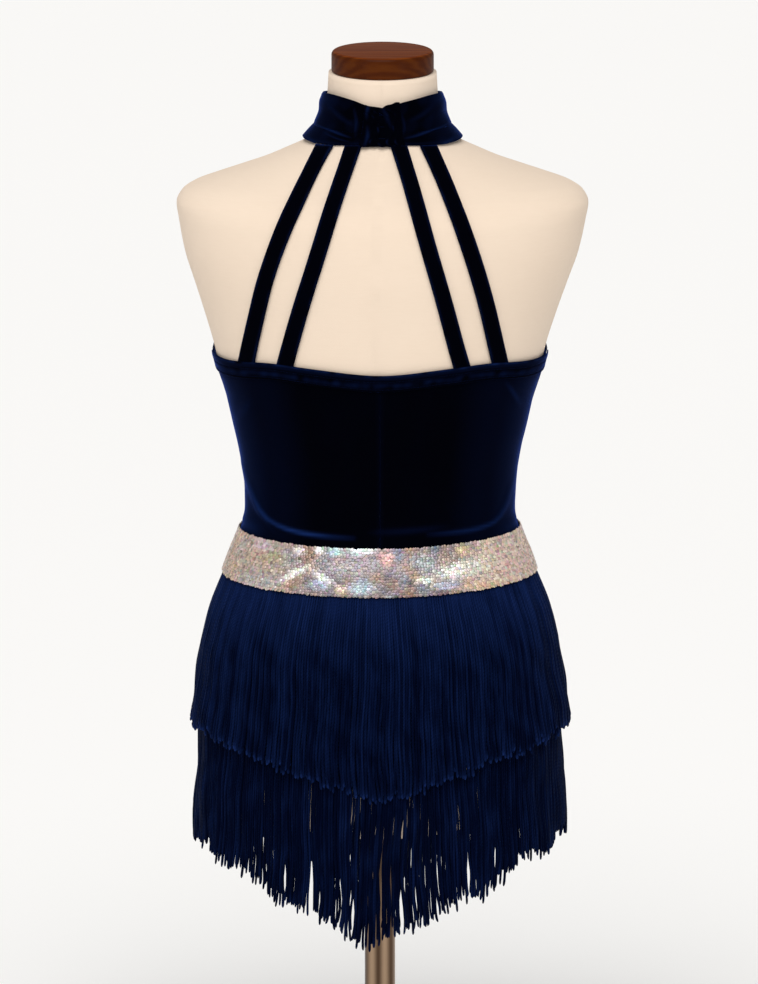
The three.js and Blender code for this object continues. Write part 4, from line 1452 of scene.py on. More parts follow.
@dataclass
class Straps:
    """The four back straps, turned tubes pressed flat."""

    width: float = 0.015
    tuck: float = 0.0016
    foot_inset: float = 0.012
    stretch: float = 0.95
    edge: float = 1.1 * MM
    rows: tuple[Strap, ...] = (
        Strap("left_outer", -121.5, -49.7, -13.6, -5.0),
        Strap("left_inner", -86.3, -24.0, -4.8, -0.4),
        Strap("right_inner", 75.2, 16.9, 2.8, 1.4),
        Strap("right_outer", 109.4, 43.6, 9.7, 3.6),
    )

    def build(self, bodice: Bodice) -> None:
        """Builds the straps, from the bodice's back edge."""
        for number, strap in enumerate(self.rows):
            self._strap(number, strap, bodice)

    def _strap(self, number: int, strap: Strap, bodice: Bodice) -> None:
        """One strap, from the back's edge to the collar's foot.

        Args:
            number: Its place in the row.
            strap: Its line.
            bodice: Whose back edge it leaves.
        """
        lower_x, upper_x, bow, skew = (place * MM for place in strap[1:])
        foot_y = COLLAR.middle - math.sqrt(1 - ((upper_x - FIGURE.lean) / COLLAR.foot_half) ** 2) * COLLAR.foot_back
        rise = float(COLLAR.seat(np.array([upper_x]), np.array([foot_y]))[0]) - bodice.back_edge_z
        side, share = np.meshgrid(span(-0.5, 0.5, 12, 0.08), span(0.0, 1.0, 90), indexing="ij")
        past, bent = 2 * share - 1, 4 * share * (1 - share)
        slope = (upper_x - lower_x - 4 * bow * past + skew * (2 * bent - 4 * past**2)) / rise
        waver = ripples(share * 0.2, np.full_like(share, number), 40 + number, 0.07) * 0.25 * MM
        x = lower_x + (upper_x - lower_x) * share + (bow + skew * past) * bent + waver
        x = x + side * self.width * np.hypot(1, slope * (1 - 0.45 * smoothstep(share, 0.7, 1.0)))

        def at_foot(z: Array) -> Array:
            """Whether the strap has come up to the collar there."""
            points = FIGURE.bare(FIGURE.back_angle(x, z), z)
            return COLLAR.foot.share(points[..., 0], points[..., 1]) < 1 - self.foot_inset

        low_z = bodice.back_edge(x) - self.tuck
        z = low_z + (neck_height(at_foot, x.shape) - low_z) * share
        from_side = (0.5 - np.abs(side)) * self.width
        roll = 0.18 * MM * bell(from_side, 0.0016, 0.0008) - 0.15 * MM * bell(share, 0.5, 0.6)
        grid = FIGURE.lay(FIGURE.back_angle(x, z), z, LAYERS.strap_clearance + LAYERS.strap / 2 + roll)
        half_depth = LAYERS.strap / 2 * rounded(from_side, self.edge, 0.06)
        # painted highlight along each strap's edges
        nap = 0.16 * bell(from_side, 0.0010, 0.0010) * (0.8 + 0.5 * ripples(x, z, 60 + number, 0.02))
        piece = wall_piece(f"strap_{strap.name}_tube", f"strap_{strap.name}", grid, half_depth, VELVET, nap=nap)
        length = self.stretch * float(walked(grid[len(grid) // 2])[-1])


# ---------------------------------------------------------------- collar


@dataclass
class Collar:
    """The mock-neck collar: a flared base, a standing band and the gathered tab that closes it."""

    foot_half: float = 0.074
    foot_back: float = 0.066
    foot_front: float = 0.063
    middle: float = 0.004
    seat_gap: float = 1.5 * MM
    side_lift: float = 2.6 * MM
    seam_share: float = 0.28
    opening: float = 1.2 * MM
    height: float = 0.042
    tab: Pair = (-18.5 * MM, 17.5 * MM)
    tab_radius: float = 0.0615
    tab_height: float = 0.036
    hooks: tuple[float, ...] = (0.22, 0.52, 0.82)
    hook_stitch: Stitch = Stitch(1.5 * MM, 1.9 * MM, 0.6 * MM)
    shares: tuple[tuple[float, ...], ...] = (
        (0.00, 74.0, 66.0, 63.0), (0.14, 69.0, 64.0, 63.5), (0.28, 64.0, 61.5, 63.5), (0.44, 61.4, 59.0, 63.0),
        (0.60, 59.2, 57.0, 62.5), (0.80, 58.0, 55.2, 61.5), (1.00, 54.6, 53.6, 59.8),
    )  # fmt: skip
    top: tuple[Pair, ...] = ((0, 935), (28, 940.8), (55, 943.2), (90, 940.2), (135, 933.5), (180, 928))
    folds: tuple[Fold, ...] = (
        Fold(((-60, 913.5), (-44, 910.5), (-27, 907)), 1.2, 0.6, 0.36),
        Fold(((23, 907), (46, 911), (66, 914)), 1.3, 0.6, 0.36),
        Fold(((-52, 908), (-40, 905), (-27, 903)), 1.0, 0.2, 0.16),
        Fold(((-50, 934), (-38, 925), (-24, 917)), 3.4, 0.6, 0.09),
        Fold(((26, 921), (38, 926), (50, 934)), 3.4, 0.6, 0.09),
        Fold(((-24, 934), (-22, 922), (-23, 908)), 1.8, 0.8, 0.16),
        Fold(((19, 929), (22, 918), (20, 908)), 2.0, 0.6, 0.12),
        Fold(((-68, 901), (-50, 893.5)), 2.4, 0.4, 0.24),
        Fold(((52, 896), (70, 902)), 2.4, 0.4, 0.24),
    )

    @property
    def foot(self) -> Oval:
        """The collar's outer edge at its foot, seen from above."""
        return Oval(FIGURE.lean, self.foot_half, self.foot_back, self.foot_front, self.middle)

    @staticmethod
    def seat(x: Array, y: Array) -> Array:
        """The height at which the form passes a place at the foot of the neck."""
        return neck_height(lambda z: FIGURE.section(z).share(x, y) > 1, np.shape(x))

    def build(self) -> None:
        """Builds the collar."""
        base = self._strip("collar_flare", "collar_base", 0.0, self.seam_share, 16)
        band = self._strip("collar_stand", "collar_band", self.seam_share, 1.0, 44)
        self._closure()
        self._hook_threads()

    def point(self, angle: Array, share: Array, out: Array) -> Array:
        """Points of the collar.

        Args:
            angle: Their angles.
            share: Their shares of its height.
            out: Their distance out from its outer face.

        Returns:
            An array whose last axis is x, y, z.
        """
        places, *columns = np.array(self.shares).T
        sizes = (Curve(places, column * MM)(share) + out for column in columns)
        x, y = Oval(FIGURE.lean, *sizes, self.middle).at(angle)
        inward = np.minimum(out, 0)
        foot_sizes = (size + inward for size in (self.foot_half, self.foot_back, self.foot_front))
        foot_z = self.seat(*Oval(FIGURE.lean, *foot_sizes, self.middle).at(angle))
        foot_z = foot_z + self.seat_gap + self.side_lift * np.cos(angle) ** 4
        from_middle = np.degrees(np.abs(np.arcsin(np.clip(np.cos(angle), -1, 1))))
        from_back = np.where(np.sin(angle) < 0, from_middle, 180 - from_middle)
        degrees, heights = np.array(self.top).T
        top = Curve(degrees, heights * MM)(from_back)
        top = top - np.where(np.sin(angle) < 0, 1.6 * MM, 0.0) * bell(x, -0.013, 0.009)
        return np.stack([x, y, foot_z + (top - foot_z) * share], axis=-1)

    def _lift(self, angle: Array, share: Array) -> tuple[Array, Array]:
        """How the collar's folds move its cloth.

        Args:
            angle: Where.
            share: Where.

        Returns:
            How far they lift it, and how much painted highlight lies on it.
        """
        rough = self.point(angle, share, np.zeros_like(angle))
        back = smoothstep(-np.sin(angle), 0.15, 0.45)
        folds, nap = fold_cloth(self.folds, rough[..., 0], rough[..., 2])
        front_folds = 0.5 * MM * np.sin(share * 9 + 1.5 * np.sin(angle * 3)) * (1 - back) * np.sin(np.pi * share)
        rolls = 0.45 * MM * bell(share, 0.95, 0.035) - 0.7 * MM * bell(share, self.seam_share, 0.035)
        soft = ripples(angle * 0.06, share * 0.045, 21, 0.03) * 0.28 * MM * np.sin(np.pi * np.clip(share, 0, 1))
        # painted highlights: the top corners at the sides, painted sheen toward the sides and a line along the foot;
        # the mottle is random tone
        corner = 0.22 * bell(share, 0.88, 0.1) * np.abs(np.cos(angle)) ** 8
        mottle = np.clip(ripples(angle * 0.07, share * 0.05, 23, 0.022), 0, 1) * 0.03
        flank = 0.07 * smoothstep(np.abs(np.cos(angle)), 0.5, 0.95)
        nap = nap * back + corner + mottle + flank + 0.06 * bell(share, 0.03, 0.03)
        return folds * back + front_folds + rolls + soft, nap

    def _strip(self, name: str, node: str, low: float, high: float, rows: int) -> Object:
        """A strip of the collar, open at the centre back.

        Args:
            name: Its name.
            node: The CAD node that it replaces.
            low: Its lower edge, as a share of the collar's height.
            high: Its upper edge.
            rows: How many rows it has.

        Returns:
            The piece.
        """
        gap = self.opening / (2 * self.foot_half)
        u, v = span(BACK + gap, BACK + TURN - gap, 240, 0.012), span(low, high, rows, 0.018)
        angle, share = np.meshgrid(u, v, indexing="ij")
        lift, nap = self._lift(angle, share)
        half_depth = LAYERS.collar / 2 * edge_share(u, v, 0.25 * MM, 0.06, self.height)
        return wall_piece(name, node, self.point(angle, share, lift - LAYERS.collar / 2), half_depth, VELVET, nap=nap)

    def _closure(self) -> None:
        """The gathered tab over the collar's ends, pinched where it is hooked."""
        u = span(*(place / self.tab_radius for place in self.tab), 110, 0.02)
        v = span(0.0, 1.0, 96, 0.03)
        across, share = np.meshgrid(u, v, indexing="ij")
        local = (across - u[0]) / (u[-1] - u[0])
        bulge = np.sin(np.pi * np.clip(local, 0, 1)) ** 0.6
        drift = 0.09 * np.sin(share * 7.0 + 0.6) + 0.05 * np.sin(share * 15.0)
        folds = np.cos(TURN * 5.4 * (local + drift)) * (0.35 + 0.65 * np.abs(np.sin(share * 9.0 + 0.5)))
        hooks = sum(bell(share, at, 0.06) for at in self.hooks)
        lumps = ripples(local, share * 1.3, 33, 0.32)
        tuck = bell(local, 0.72 - 0.38 * (share - 0.45), 0.05) * smoothstep(share, 0.35, 0.6)
        height = 1.15 + bulge * (1.4 + folds * 0.8 + lumps * 0.4 + 0.7 * tuck) + 1.5 * bell(local, 0.13, 0.085)
        height = np.maximum(height - 1.2 * hooks * bell(local, 0.42, 0.2), 0.6) * MM
        # painted highlights: a line down the tab's left roll, the tuck and the crests of its folds
        left_line = bell(local, 0.13 + 0.03 * np.sin(share * 6), 0.04)
        nap = 0.24 * left_line * (0.5 + 0.5 * np.sin(share * 9 - 0.6)) + 0.10 * tuck
        nap = nap + 0.20 * np.clip(folds, 0, 1) ** 6 * bulge * (1 - hooks) * np.clip(0.5 + lumps, 0, 1)
        ragged = 0.012 * np.sin(local * 9 + 1) + 0.010 * np.sin(local * 23)
        reach = 0.012 + (0.993 + 0.05 * smoothstep(local, 0.15, 0.75) + ragged) * share
        thick = 0.65 * MM * edge_share(u, v, 0.8 * MM, self.tab_radius, self.tab_height)
        grid = self.point(across + BACK, reach, LAYERS.seam + height - thick)
        piece = wall_piece("closure_tab", "collar_closure", grid, thick, VELVET, nap=nap)

    def _hook_threads(self) -> None:
        """The stitches that catch the tab down over each hook."""
        for number, share in enumerate(self.hooks):
            angle = BACK + np.linspace(-0.05, 0.05, 12)
            line = self.point(angle, np.full_like(angle, share), np.full_like(angle, 2.1 * MM))
            out = unit((line - np.array([0.0, self.middle, 0.0])) * np.array([1.0, 1.0, 0.0]))
            stitch_row(f"hook_stitches_{number + 1}", line, out, self.hook_stitch)


COLLAR = Collar()


# ---------------------------------------------------------------- belt


class Glint(NamedTuple):
    """A painted glint: a soft patch of reflected light or colour painted on the belt's back: its place, half sizes and
    turn (mm, degrees).
    """

    x: float
    z: float
    half_x: float
    half_z: float
    turn: float
    colour: Colour


@dataclass
class Belt:
    """The sequin belt: a woven ground with overlapping sequins sewn to it in rows."""

    top_z: float = 0.531
    bottom_z: float = 0.489
    tape_top_z: float = 0.503
    margin: float = 0.6 * MM
    ground: float = 0.6 * MM
    edge: float = 0.7 * MM
    sequin: float = 1.72 * MM
    pitch: float = 2.55 * MM
    row_pitch: float = 2.25 * MM
    dome: float = 0.22 * MM
    dish: float = 0.06 * MM
    sides: int = 8
    grey: Colour = (0.235, 0.185, 0.185)
    warm: Colour = (0.70, 0.545, 0.455)
    amber: Colour = (0.16, -0.02, -0.20)
    # painted glints and reflections, light and dark, on the back's sequins
    glints: tuple[Glint, ...] = (
        Glint(112, 513, 30, 34, 0, (0.86, 0.68, 0.58)),
        Glint(-80, 508.6, 17, 3.2, 29, (0.93, 0.90, 0.87)), Glint(-53, 507.5, 10, 3.5, -32, (0.95, 0.92, 0.90)),
        Glint(-56, 501, 9, 5, 0, (0.45, 0.55, 0.68)), Glint(-74, 529, 5, 3, 0, (0.93, 0.92, 0.90)),
        Glint(-55, 530, 5, 3, 0, (0.93, 0.92, 0.90)), Glint(-41, 529.4, 7, 4, 0, (0.40, 0.55, 0.58)),
        Glint(-31, 516.5, 24, 9, 0, (0.30, 0.27, 0.28)), Glint(-18, 499, 14, 6, 0, (0.42, 0.50, 0.60)),
        Glint(7, 525, 6, 6, 0, (0.55, 0.33, 0.33)), Glint(-17, 531, 12, 3.5, 0, (0.62, 0.72, 0.75)),
        Glint(42, 520, 13, 9, 0, (0.28, 0.31, 0.32)), Glint(75, 513.5, 24, 7.5, 10, (0.92, 0.89, 0.80)),
        Glint(41, 505, 9, 3, 0, (0.85, 0.85, 0.78)), Glint(76, 529, 7, 4, 0, (0.80, 0.62, 0.38)),
        Glint(64, 524, 9, 6, 0, (0.36, 0.27, 0.24)), Glint(59, 500, 12, 4, 0, (0.55, 0.60, 0.72)),
        Glint(96, 497.5, 22, 3, 0, (0.72, 0.52, 0.36)), Glint(-36, 497.5, 5, 4, 0, (0.75, 0.58, 0.45)),
        Glint(-97, 522, 8, 5, 0, (0.50, 0.46, 0.28)), Glint(-106, 529, 8, 4, 0, (0.70, 0.60, 0.66)),
    )  # fmt: skip

    def build(self) -> None:
        """Builds the woven ground and its sequins."""
        heights = span(self.bottom_z + self.margin, self.top_z - self.margin, 20, self.edge)
        ground = ring_band(
            "belt_ground_band", "sequin_belt", BeltGround(), heights, 260,
            lambda z: self.face_out(z) - LAYERS.belt + self.ground, self.ground, self.edge,
        )  # fmt: skip
        sequins = self._sequins()

    def face_out(self, z: Array) -> Array:
        """How far out the belt's outer face lies at a height."""
        easing = np.clip((self.top_z - z) / (self.top_z - self.tape_top_z), 0, 1)
        return LAYERS.on_panel + LAYERS.belt_ease + easing * (LAYERS.tape + LAYERS.seam) + LAYERS.belt

    def _sequins(self) -> Object:
        """Closed, slightly domed discs, each tilted its own way over the one below.

        Returns:
            The piece.
        """
        chance = np.random.default_rng(SEED + 5)
        spots: list[Pair] = []
        rows = int(round((self.top_z - self.bottom_z - self.sequin) / self.row_pitch)) + 1
        for row, z in enumerate(np.linspace(self.bottom_z + 0.0009, self.top_z - 0.0011, rows)):
            line = FIGURE.lay(ROUND, worn(ROUND, z), self.face_out(z))
            spots += [(angle, z) for angle in spaced(line, self.pitch, 0.5 * (row % 2))]
        angle, z = np.array(spots).T
        count = len(angle)
        angle = angle + chance.normal(0, 0.0030, count)
        z = z + chance.normal(0, 0.00028, count)
        raised = worn(angle, z)
        out = FIGURE.normal(angle, raised)
        centre = FIGURE.lay(angle, raised, self.face_out(z) - 0.75 * MM + chance.uniform(0, 0.3, count) * MM)
        up = unit(np.array([0.0, 0.0, 1.0]) - out * out[:, 2:3])
        side = np.cross(up, out)
        lean, roll = (np.radians(chance.normal(*tilt, count))[:, None] for tilt in ((9, 3.5), (0, 4)))
        tilted_up = up * np.cos(lean) + out * -np.sin(lean)
        tilted_side = side * np.cos(roll) + out * np.sin(roll)
        axis = np.cross(tilted_side, tilted_up)
        axis *= np.sign(np.einsum("ij,ij->i", axis, out))[:, None]
        turn = (np.arange(self.sides) / self.sides * TURN)[None, :, None]
        size = self.sequin * chance.uniform(0.93, 1.06, count)[:, None, None]
        rim = centre[:, None] + (np.cos(turn) * tilted_side[:, None] + np.sin(turn) * tilted_up[:, None]) * size
        middles = np.stack([centre + axis * self.dome, centre - axis * self.dish], axis=1)
        points = np.concatenate([rim, middles], axis=1)
        fan = [(i, (i + 1) % self.sides, self.sides) for i in range(self.sides)]
        fan += [((i + 1) % self.sides, i, self.sides + 1) for i in range(self.sides)]
        each = self.sides + 2
        faces = (np.arange(count)[:, None, None] * each + np.array(fan)[None]).reshape(-1, 3)
        hue = np.repeat(self._colours(centre, chance), each, axis=0)
        return make_piece("belt_sequins", points, faces, Sequins(), shades=("hue", hue), smooth=False)

    def _colours(self, centre: Array, chance: np.random.Generator) -> Array:
        """Each sequin's colour: grey at the middle, warmer at the sides, with painted glints: soft patches of reflected
        light, some dark, painted where the sequins would mirror the lamps.

        Args:
            centre: The sequins' places.
            chance: Where their own shades come from.

        Returns:
            Red, green and blue for each.
        """
        x, y, z = centre.T
        warmth = smoothstep(np.abs(x), 0.055, 0.120)[:, None]
        colours = np.array(self.grey) * (1 - warmth) + np.array(self.warm) * warmth
        amber = ripples(x + y, z * 1.4, 90, 0.020)[:, None] * np.array(self.amber)
        colours = colours * (1 + (amber + 0.16 * ripples(x - y, z * 2, 95, 0.017)[:, None]) * (1 - 0.5 * warmth))
        # painted glints: each patch pulls the sequins' colour toward a reflected light or dark colour
        for glint in self.glints:
            cos, sin = math.cos(math.radians(glint.turn)), math.sin(math.radians(glint.turn))
            dx, dz = x - glint.x * MM, z - glint.z * MM
            along = (dx * cos + dz * sin) / (glint.half_x * MM)
            over = (dz * cos - dx * sin) / (glint.half_z * MM)
            near = np.exp(-((along**2 + over**2) ** 1.5)) * (y < 0)
            colours = colours + (np.array(glint.colour) - colours) * (0.92 * near)[:, None]
        own = 1 + chance.normal(0, 0.08, (len(x), 3)) + chance.normal(0, 0.17, (len(x), 1))
        return np.clip(colours * own, 0.03, 1)


# ---------------------------------------------------------------- fringe


class Slot(NamedTuple):
    """A gap between a tier's strands at the back: where, from which height down to which, and half its width, in mm."""

    x: float
    top: float
    foot: float
    half: float


class Layer(NamedTuple):
    """A layer of strands: how far out it hangs, a strand's sides, its room in pitches, and how much shorter it is."""

    name: str
    stand: float
    sides: int
    room: float
    short: float


@dataclass
class FringeTier:
    """One tier of twisted fringe, hung from its tape in two layers of strands. The upper one is as given here."""

    name: str = "upper_fringe"
    node: str = "fringe_upper"
    tape_z: Pair = (0.491, 0.502)
    hangs: tuple[Pair, ...] = ((0.495, 0.0006), (0.484, 0.0014), (0.472, 0.0032), (0.460, 0.0053), (0.425, 0.0098))
    spread: Pair = (0.05, 0.155)
    tip: Pair = (0.302, 0.357)
    tip_x: float = 0.001
    ragged: float = 0.0042
    pitch: float = 2.5 * MM
    seed: int = 100
    clumping: float = 0.10
    looseness: float = 0.50 * MM
    tone: float = 0.092
    top_tone: float = 0.25
    radius: float = 1.30 * MM
    rise: float = 1.0
    tip_sizes: tuple[float, ...] = (1.0, 1.0, 1.12, 1.18, 0.85, 0.25)
    tip_tone: float = 0.8
    slots: tuple[Slot, ...] = ()
    tip_ups: tuple[float, ...] = (0.014, 0.008, 0.0046, 0.0024, 0.0009, 0.0)
    steps: int = 20
    edge: float = 0.6 * MM
    layers: tuple[Layer, ...] = (Layer("inner", -1.2 * MM, 4, 1.06, 0.004), Layer("outer", 0.9 * MM, 5, 1.0, 0.0))

    def build(self) -> None:
        """Builds the tape and both layers."""
        tape = ring_band(
            f"{self.name}_tape", "", CHAINETTE, span(*self.tape_z, 8, self.edge), 240,
            lambda z: LAYERS.on_panel + LAYERS.tape / 2, LAYERS.tape / 2, self.edge, self.rise,
        )  # fmt: skip
        inner, outer = (self._strands(number, layer) for number, layer in enumerate(self.layers))
        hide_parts(self.node)

    def _strands(self, number: int, layer: Layer) -> Object:
        """One layer of strands.

        Args:
            number: Which it is.
            layer: The layer.

        Returns:
            The piece.
        """
        chance = np.random.default_rng(SEED + self.seed + number)
        pitch = self.pitch * layer.room
        last_z, last_out = self.hangs[-1]
        line = FIGURE.lay(ROUND, last_z, LAYERS.on_panel + last_out)
        angle = spaced(line, pitch, 0.5)
        count = len(angle)
        x = FIGURE.bare(angle, last_z)[:, 0]
        across = (np.abs(x - self.tip_x) / FIGURE.section(last_z).half)[:, None]
        stepped = ripples(np.cumsum(np.full(count, pitch)), 0.0, self.seed + 60, 0.045)
        uneven = stepped * self.ragged * 0.45 + chance.normal(0, self.ragged * 0.5, count)
        tip = self._toward_sides(self.tip, across) + uneven[:, None] + layer.short
        raised = self.rise * belt_rise(FIGURE.bare(angle, self.tape_z[0])[:, :1])
        top = self.tape_z[0] + 0.004 + raised
        long = top - tip
        z = top - (long - self.tip_ups[0]) * np.linspace(0, 1, self.steps)[None, :]
        z = np.concatenate([z, tip + np.array(self.tip_ups[1:])[None, :]], axis=1)
        sway = self._sway(angle, z, chance, pitch, (top - z) / long)
        sway = sway + self._parted(x, z) * (np.sin(angle) < 0)[:, None]
        held_z = np.maximum(z, last_z)
        out = Curve(*np.array(self.hangs).T)(held_z - raised)
        depth = layer.stand * smoothstep(top - z, 0.004, 0.05)
        wavy = ripples(angle[:, None] * 0.15, z, self.seed + 70, 0.06) * 1.1 * MM * smoothstep(top - z, 0.02, 0.12)
        swung = angle[:, None] + sway * (TURN / walked(line)[-1])
        points = FIGURE.lay(swung, held_z, LAYERS.on_panel + out + depth + wavy)
        outward = unit(points * np.array([1.0, 1.0, 0.0]))
        points = points + outward * ((held_z - z) * self._toward_sides(self.spread, across**2))[..., None]
        points[..., 2] = z
        radii = self.radius * chance.uniform(0.9, 1.1, (count, 1)) * (0.72 + 0.28 * smoothstep(top - z, 0.0, 0.02))
        radii[:, self.steps - 1 :] *= np.array(self.tip_sizes)[None, :] * chance.uniform(0.85, 1.1, (count, 1))
        splay = chance.normal(0, 0.6 * MM, (count, 1)) * np.exp(-((z - tip) / 0.007))
        turn = chance.uniform(0, TURN, count)[:, None]
        forth = outward[:, self.steps // 2]
        aside = np.stack([-forth[:, 1], forth[:, 0], np.zeros(count)], axis=1)
        directions = forth * np.cos(turn) + aside * np.sin(turn), aside * np.cos(turn) - forth * np.sin(turn)
        points = points + aside[:, None] * splay[..., None]
        tone = self._tone(angle, z, z - tip, top - z, chance)
        return tubes(f"{self.name}_{layer.name}_strands", "", points, radii, directions, layer.sides, CHAINETTE, tone)

    @staticmethod
    def _toward_sides(ends: Pair, share: Array) -> Array:
        """A measure that changes from the tier's centre to its sides."""
        return ends[0] + (ends[1] - ends[0]) * share

    def _sway(self, angle: Array, z: Array, chance: np.random.Generator, pitch: float, t: Array) -> Array:
        """How far each point of each strand lies to one side: strands lean together and waver a little.

        Args:
            angle: The strands' angles.
            z: Their points' heights.
            chance: Where the unevenness comes from.
            pitch: From one strand to the next.
            t: How far down its strand each point lies, from 0 to 1.

        Returns:
            The distances.
        """
        count = len(angle)
        clump = np.repeat(np.arange(count), chance.integers(2, 6, count))[:count]
        members = np.bincount(clump)
        centre = np.bincount(clump, np.arange(count)) / np.maximum(members, 1)
        pull = (centre[clump] - np.arange(count)) * pitch * self.clumping
        drift = chance.normal(0, 1, members.size)[clump] * self.looseness
        own = chance.normal(0, 1, count) * self.looseness
        wave = np.sin(z * (TURN / chance.uniform(0.035, 0.09, count)[:, None]) + chance.uniform(0, 6.3, (count, 1)))
        broad = ripples(angle[:, None] * 0.16, z, self.seed + 80, 0.11) * 1.6 * MM
        return (pull + drift + own)[:, None] * t**1.6 + wave * 0.38 * MM * t + broad * t

    def _parted(self, x: Array, z: Array) -> Array:
        """How far the slots push each point of each strand aside.

        Args:
            x: The strands' places.
            z: Their points' heights.

        Returns:
            A distance for each point, positive toward +X.
        """
        aside = np.zeros_like(z)
        for slot in self.slots:
            off = x[:, None] - slot.x * MM
            down = np.clip((slot.top * MM - z) / ((slot.top - slot.foot) * MM), 0, 1)
            aside += np.sign(off) * np.sin(np.pi * down) ** 0.8 * slot.half * MM * bell(off, 0, 4.5 * MM)
        return aside

    def _tone(self, angle: Array, z: Array, from_tip: Array, from_top: Array, chance: np.random.Generator) -> Array:
        """A shade for each point: lighter near the belt and at the looped ends, and its own for each strand.

        Args:
            angle: The strands' angles.
            z: Their points' heights.
            from_tip: Their heights above the strands' tips.
            from_top: Their depths below the strands' tops.
            chance: Where the strands' own shades come from.

        Returns:
            The shades.
        """
        own = np.clip(chance.normal(0, 0.065, (len(angle), 1)), -0.09, 0.17)
        glint = np.sin(z * (TURN / chance.uniform(0.02, 0.06, own.shape)) + chance.uniform(0, 6.3, own.shape))
        near_top = self.top_tone * bell(from_top, 0, 0.050)
        near_tip = self.tip_tone * chance.uniform(0.1, 1.0, own.shape) * bell(from_tip, 0, 0.0032)
        broad = 0.05 * ripples(angle[:, None] * 0.17, z, self.seed + 90, 0.03)
        return np.clip(self.tone + own + 0.045 * glint + near_top + near_tip + broad, 0, 1)


# ---------------------------------------------------------------- the whole


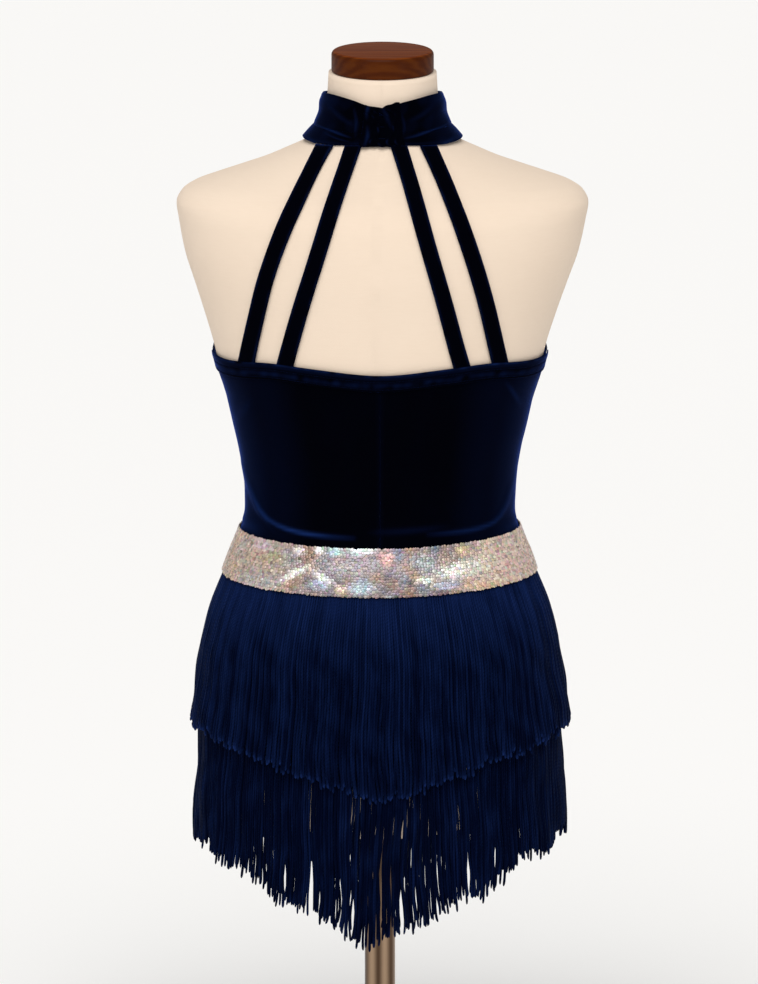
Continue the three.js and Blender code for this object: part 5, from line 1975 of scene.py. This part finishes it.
@dataclass
class Studio:
    """A plain pale floor, soft light and the camera: a long lens behind the costume, a little above it."""

    distance: float = 22.0
    elevation: float = 11.4
    target: Colour = (-0.0009, 0.0, 0.5668)
    frame_height: float = 0.9053
    sensor: float = 36.0
    far_end: float = 200.0
    floor_size: float = 120.0
    floor_drop: float = 0.2 * MM
    daylight: tuple[float, ...] = (1.0, 0.995, 0.985, 1.0)
    daylight_strength: float = 0.38
    sun_strength: float = 2.3
    sun_width: float = 50.0
    sun_colour: Colour = (1.0, 0.985, 0.96)
    sun_turn: Colour = (32.0, 0.0, -6.0)
    box_aim: Colour = (0.0, 0.0, 0.55)
    boxes: tuple[tuple[str, Colour, Pair, float], ...] = (
        ("left_box", (-1.5, -1.7, 1.25), (0.6, 1.5), 2.5),
        ("right_box", (1.6, -1.6, 1.15), (0.5, 1.5), 2.2),
    )

    def build(self) -> None:
        """Builds the studio."""
        self._camera()
        self._floor()
        self._lights()

    @staticmethod
    def _aim(made: Object, place: Vector, way: Vector) -> None:
        """Puts a camera or a light at a place, so that it looks one way."""
        made.location, made.rotation_mode = place, "QUATERNION"
        made.rotation_quaternion = way.to_track_quat("-Z", "Y")

    def _camera(self) -> None:
        """The camera."""
        data = bpy.data.cameras.new("camera")
        data.sensor_width, data.clip_end = self.sensor, self.far_end
        data.lens = self.sensor * self.distance / self.frame_height
        lift = math.radians(self.elevation)
        back = Vector((0.0, -math.cos(lift), math.sin(lift)))
        bpy.context.scene.camera = add_object("camera", data)
        self._aim(bpy.context.scene.camera, Vector(self.target) + back * self.distance, -back)

    def _floor(self) -> None:
        """The floor, which isn't part of the object."""
        half = self.floor_size / 2
        mesh = bpy.data.meshes.new("floor")
        corners = [(-half, -half), (half, -half), (half, half), (-half, half)]
        mesh.from_pydata([(*corner, -self.floor_drop) for corner in corners], [], [(0, 1, 2, 3)])
        mesh.materials.append(PaleFloor().material())
        add_object("floor", mesh)

    def _lights(self) -> None:
        """Even light all round, a broad soft sun from above the camera, and softboxes for the gloss."""
        world = bpy.data.worlds.new("studio")
        world.use_nodes = True
        inputs = world.node_tree.nodes["Background"].inputs
        inputs["Color"].default_value, inputs["Strength"].default_value = self.daylight, self.daylight_strength
        bpy.context.scene.world = world
        sun = bpy.data.lights.new("soft_sun", "SUN")
        sun.energy, sun.angle, sun.color = self.sun_strength, math.radians(self.sun_width), self.sun_colour
        add_object("soft_sun", sun).rotation_euler = [math.radians(turn) for turn in self.sun_turn]
        for name, place, size, power in self.boxes:
            box = bpy.data.lights.new(name, "AREA")
            box.shape, box.energy = "RECTANGLE", power
            box.size, box.size_y = size
            self._aim(add_object(name, box), Vector(place), Vector(self.box_aim) - Vector(place))


LOWER_TIER = FringeTier(
    name="lower_fringe",
    node="fringe_lower",
    tape_z=(0.435, 0.446),
    hangs=((0.440, 0.0006), (0.425, 0.0022), (0.385, 0.0070), (0.345, 0.0130)),
    spread=(0.04, 0.055),
    tip=(0.167, 0.253),
    tip_x=-0.0045,
    ragged=0.0070,
    pitch=2.35 * MM,
    seed=200,
    clumping=0.08,
    looseness=0.32 * MM,
    # painted shade: the lower tier's strands are given a darker tone for the shade of the upper tier over them
    tone=0.04,
    top_tone=0.0,
    radius=1.24 * MM,
    rise=0.0,
    tip_sizes=(1.0, 1.0, 1.0, 0.92, 0.7, 0.25),
    tip_tone=0.2,
    slots=(
        Slot(-150, 258, 240, 1.3), Slot(-94, 250, 228, 1.4), Slot(-79, 246, 216, 1.4), Slot(-73, 246, 212, 1.1),
        Slot(-59, 238, 190, 1.5), Slot(-52, 228, 200, 0.8), Slot(-36, 228, 184, 1.6), Slot(-21, 290, 246, 1.0),
        Slot(-16.5, 290, 232, 1.0), Slot(-22, 216, 172, 1.1), Slot(4, 246, 206, 0.7), Slot(19.5, 292, 252, 1.1),
        Slot(19.5, 226, 172, 1.6), Slot(31, 228, 196, 0.8), Slot(45, 214, 190, 0.9), Slot(73, 250, 212, 1.5),
        Slot(79, 236, 214, 0.8), Slot(96, 262, 236, 1.4), Slot(121, 262, 240, 0.9), Slot(140, 272, 250, 0.9),
    ),
)  # fmt: skip


def main() -> None:
    """Builds the studio, the dress form and then the costume, from the cloth outwards."""
    logging.basicConfig(level=logging.INFO, format="%(name)s: %(message)s")
    bpy.context.scene.view_settings.view_transform = "Standard"
    Studio().build()
    DressForm().build()
    bodice = Bodice()
    bodice.build()
    Straps().build(bodice)
    for piece in (COLLAR, Belt(), FringeTier(), LOWER_TIER):
        piece.build()


if __name__ == "__main__":
    main()
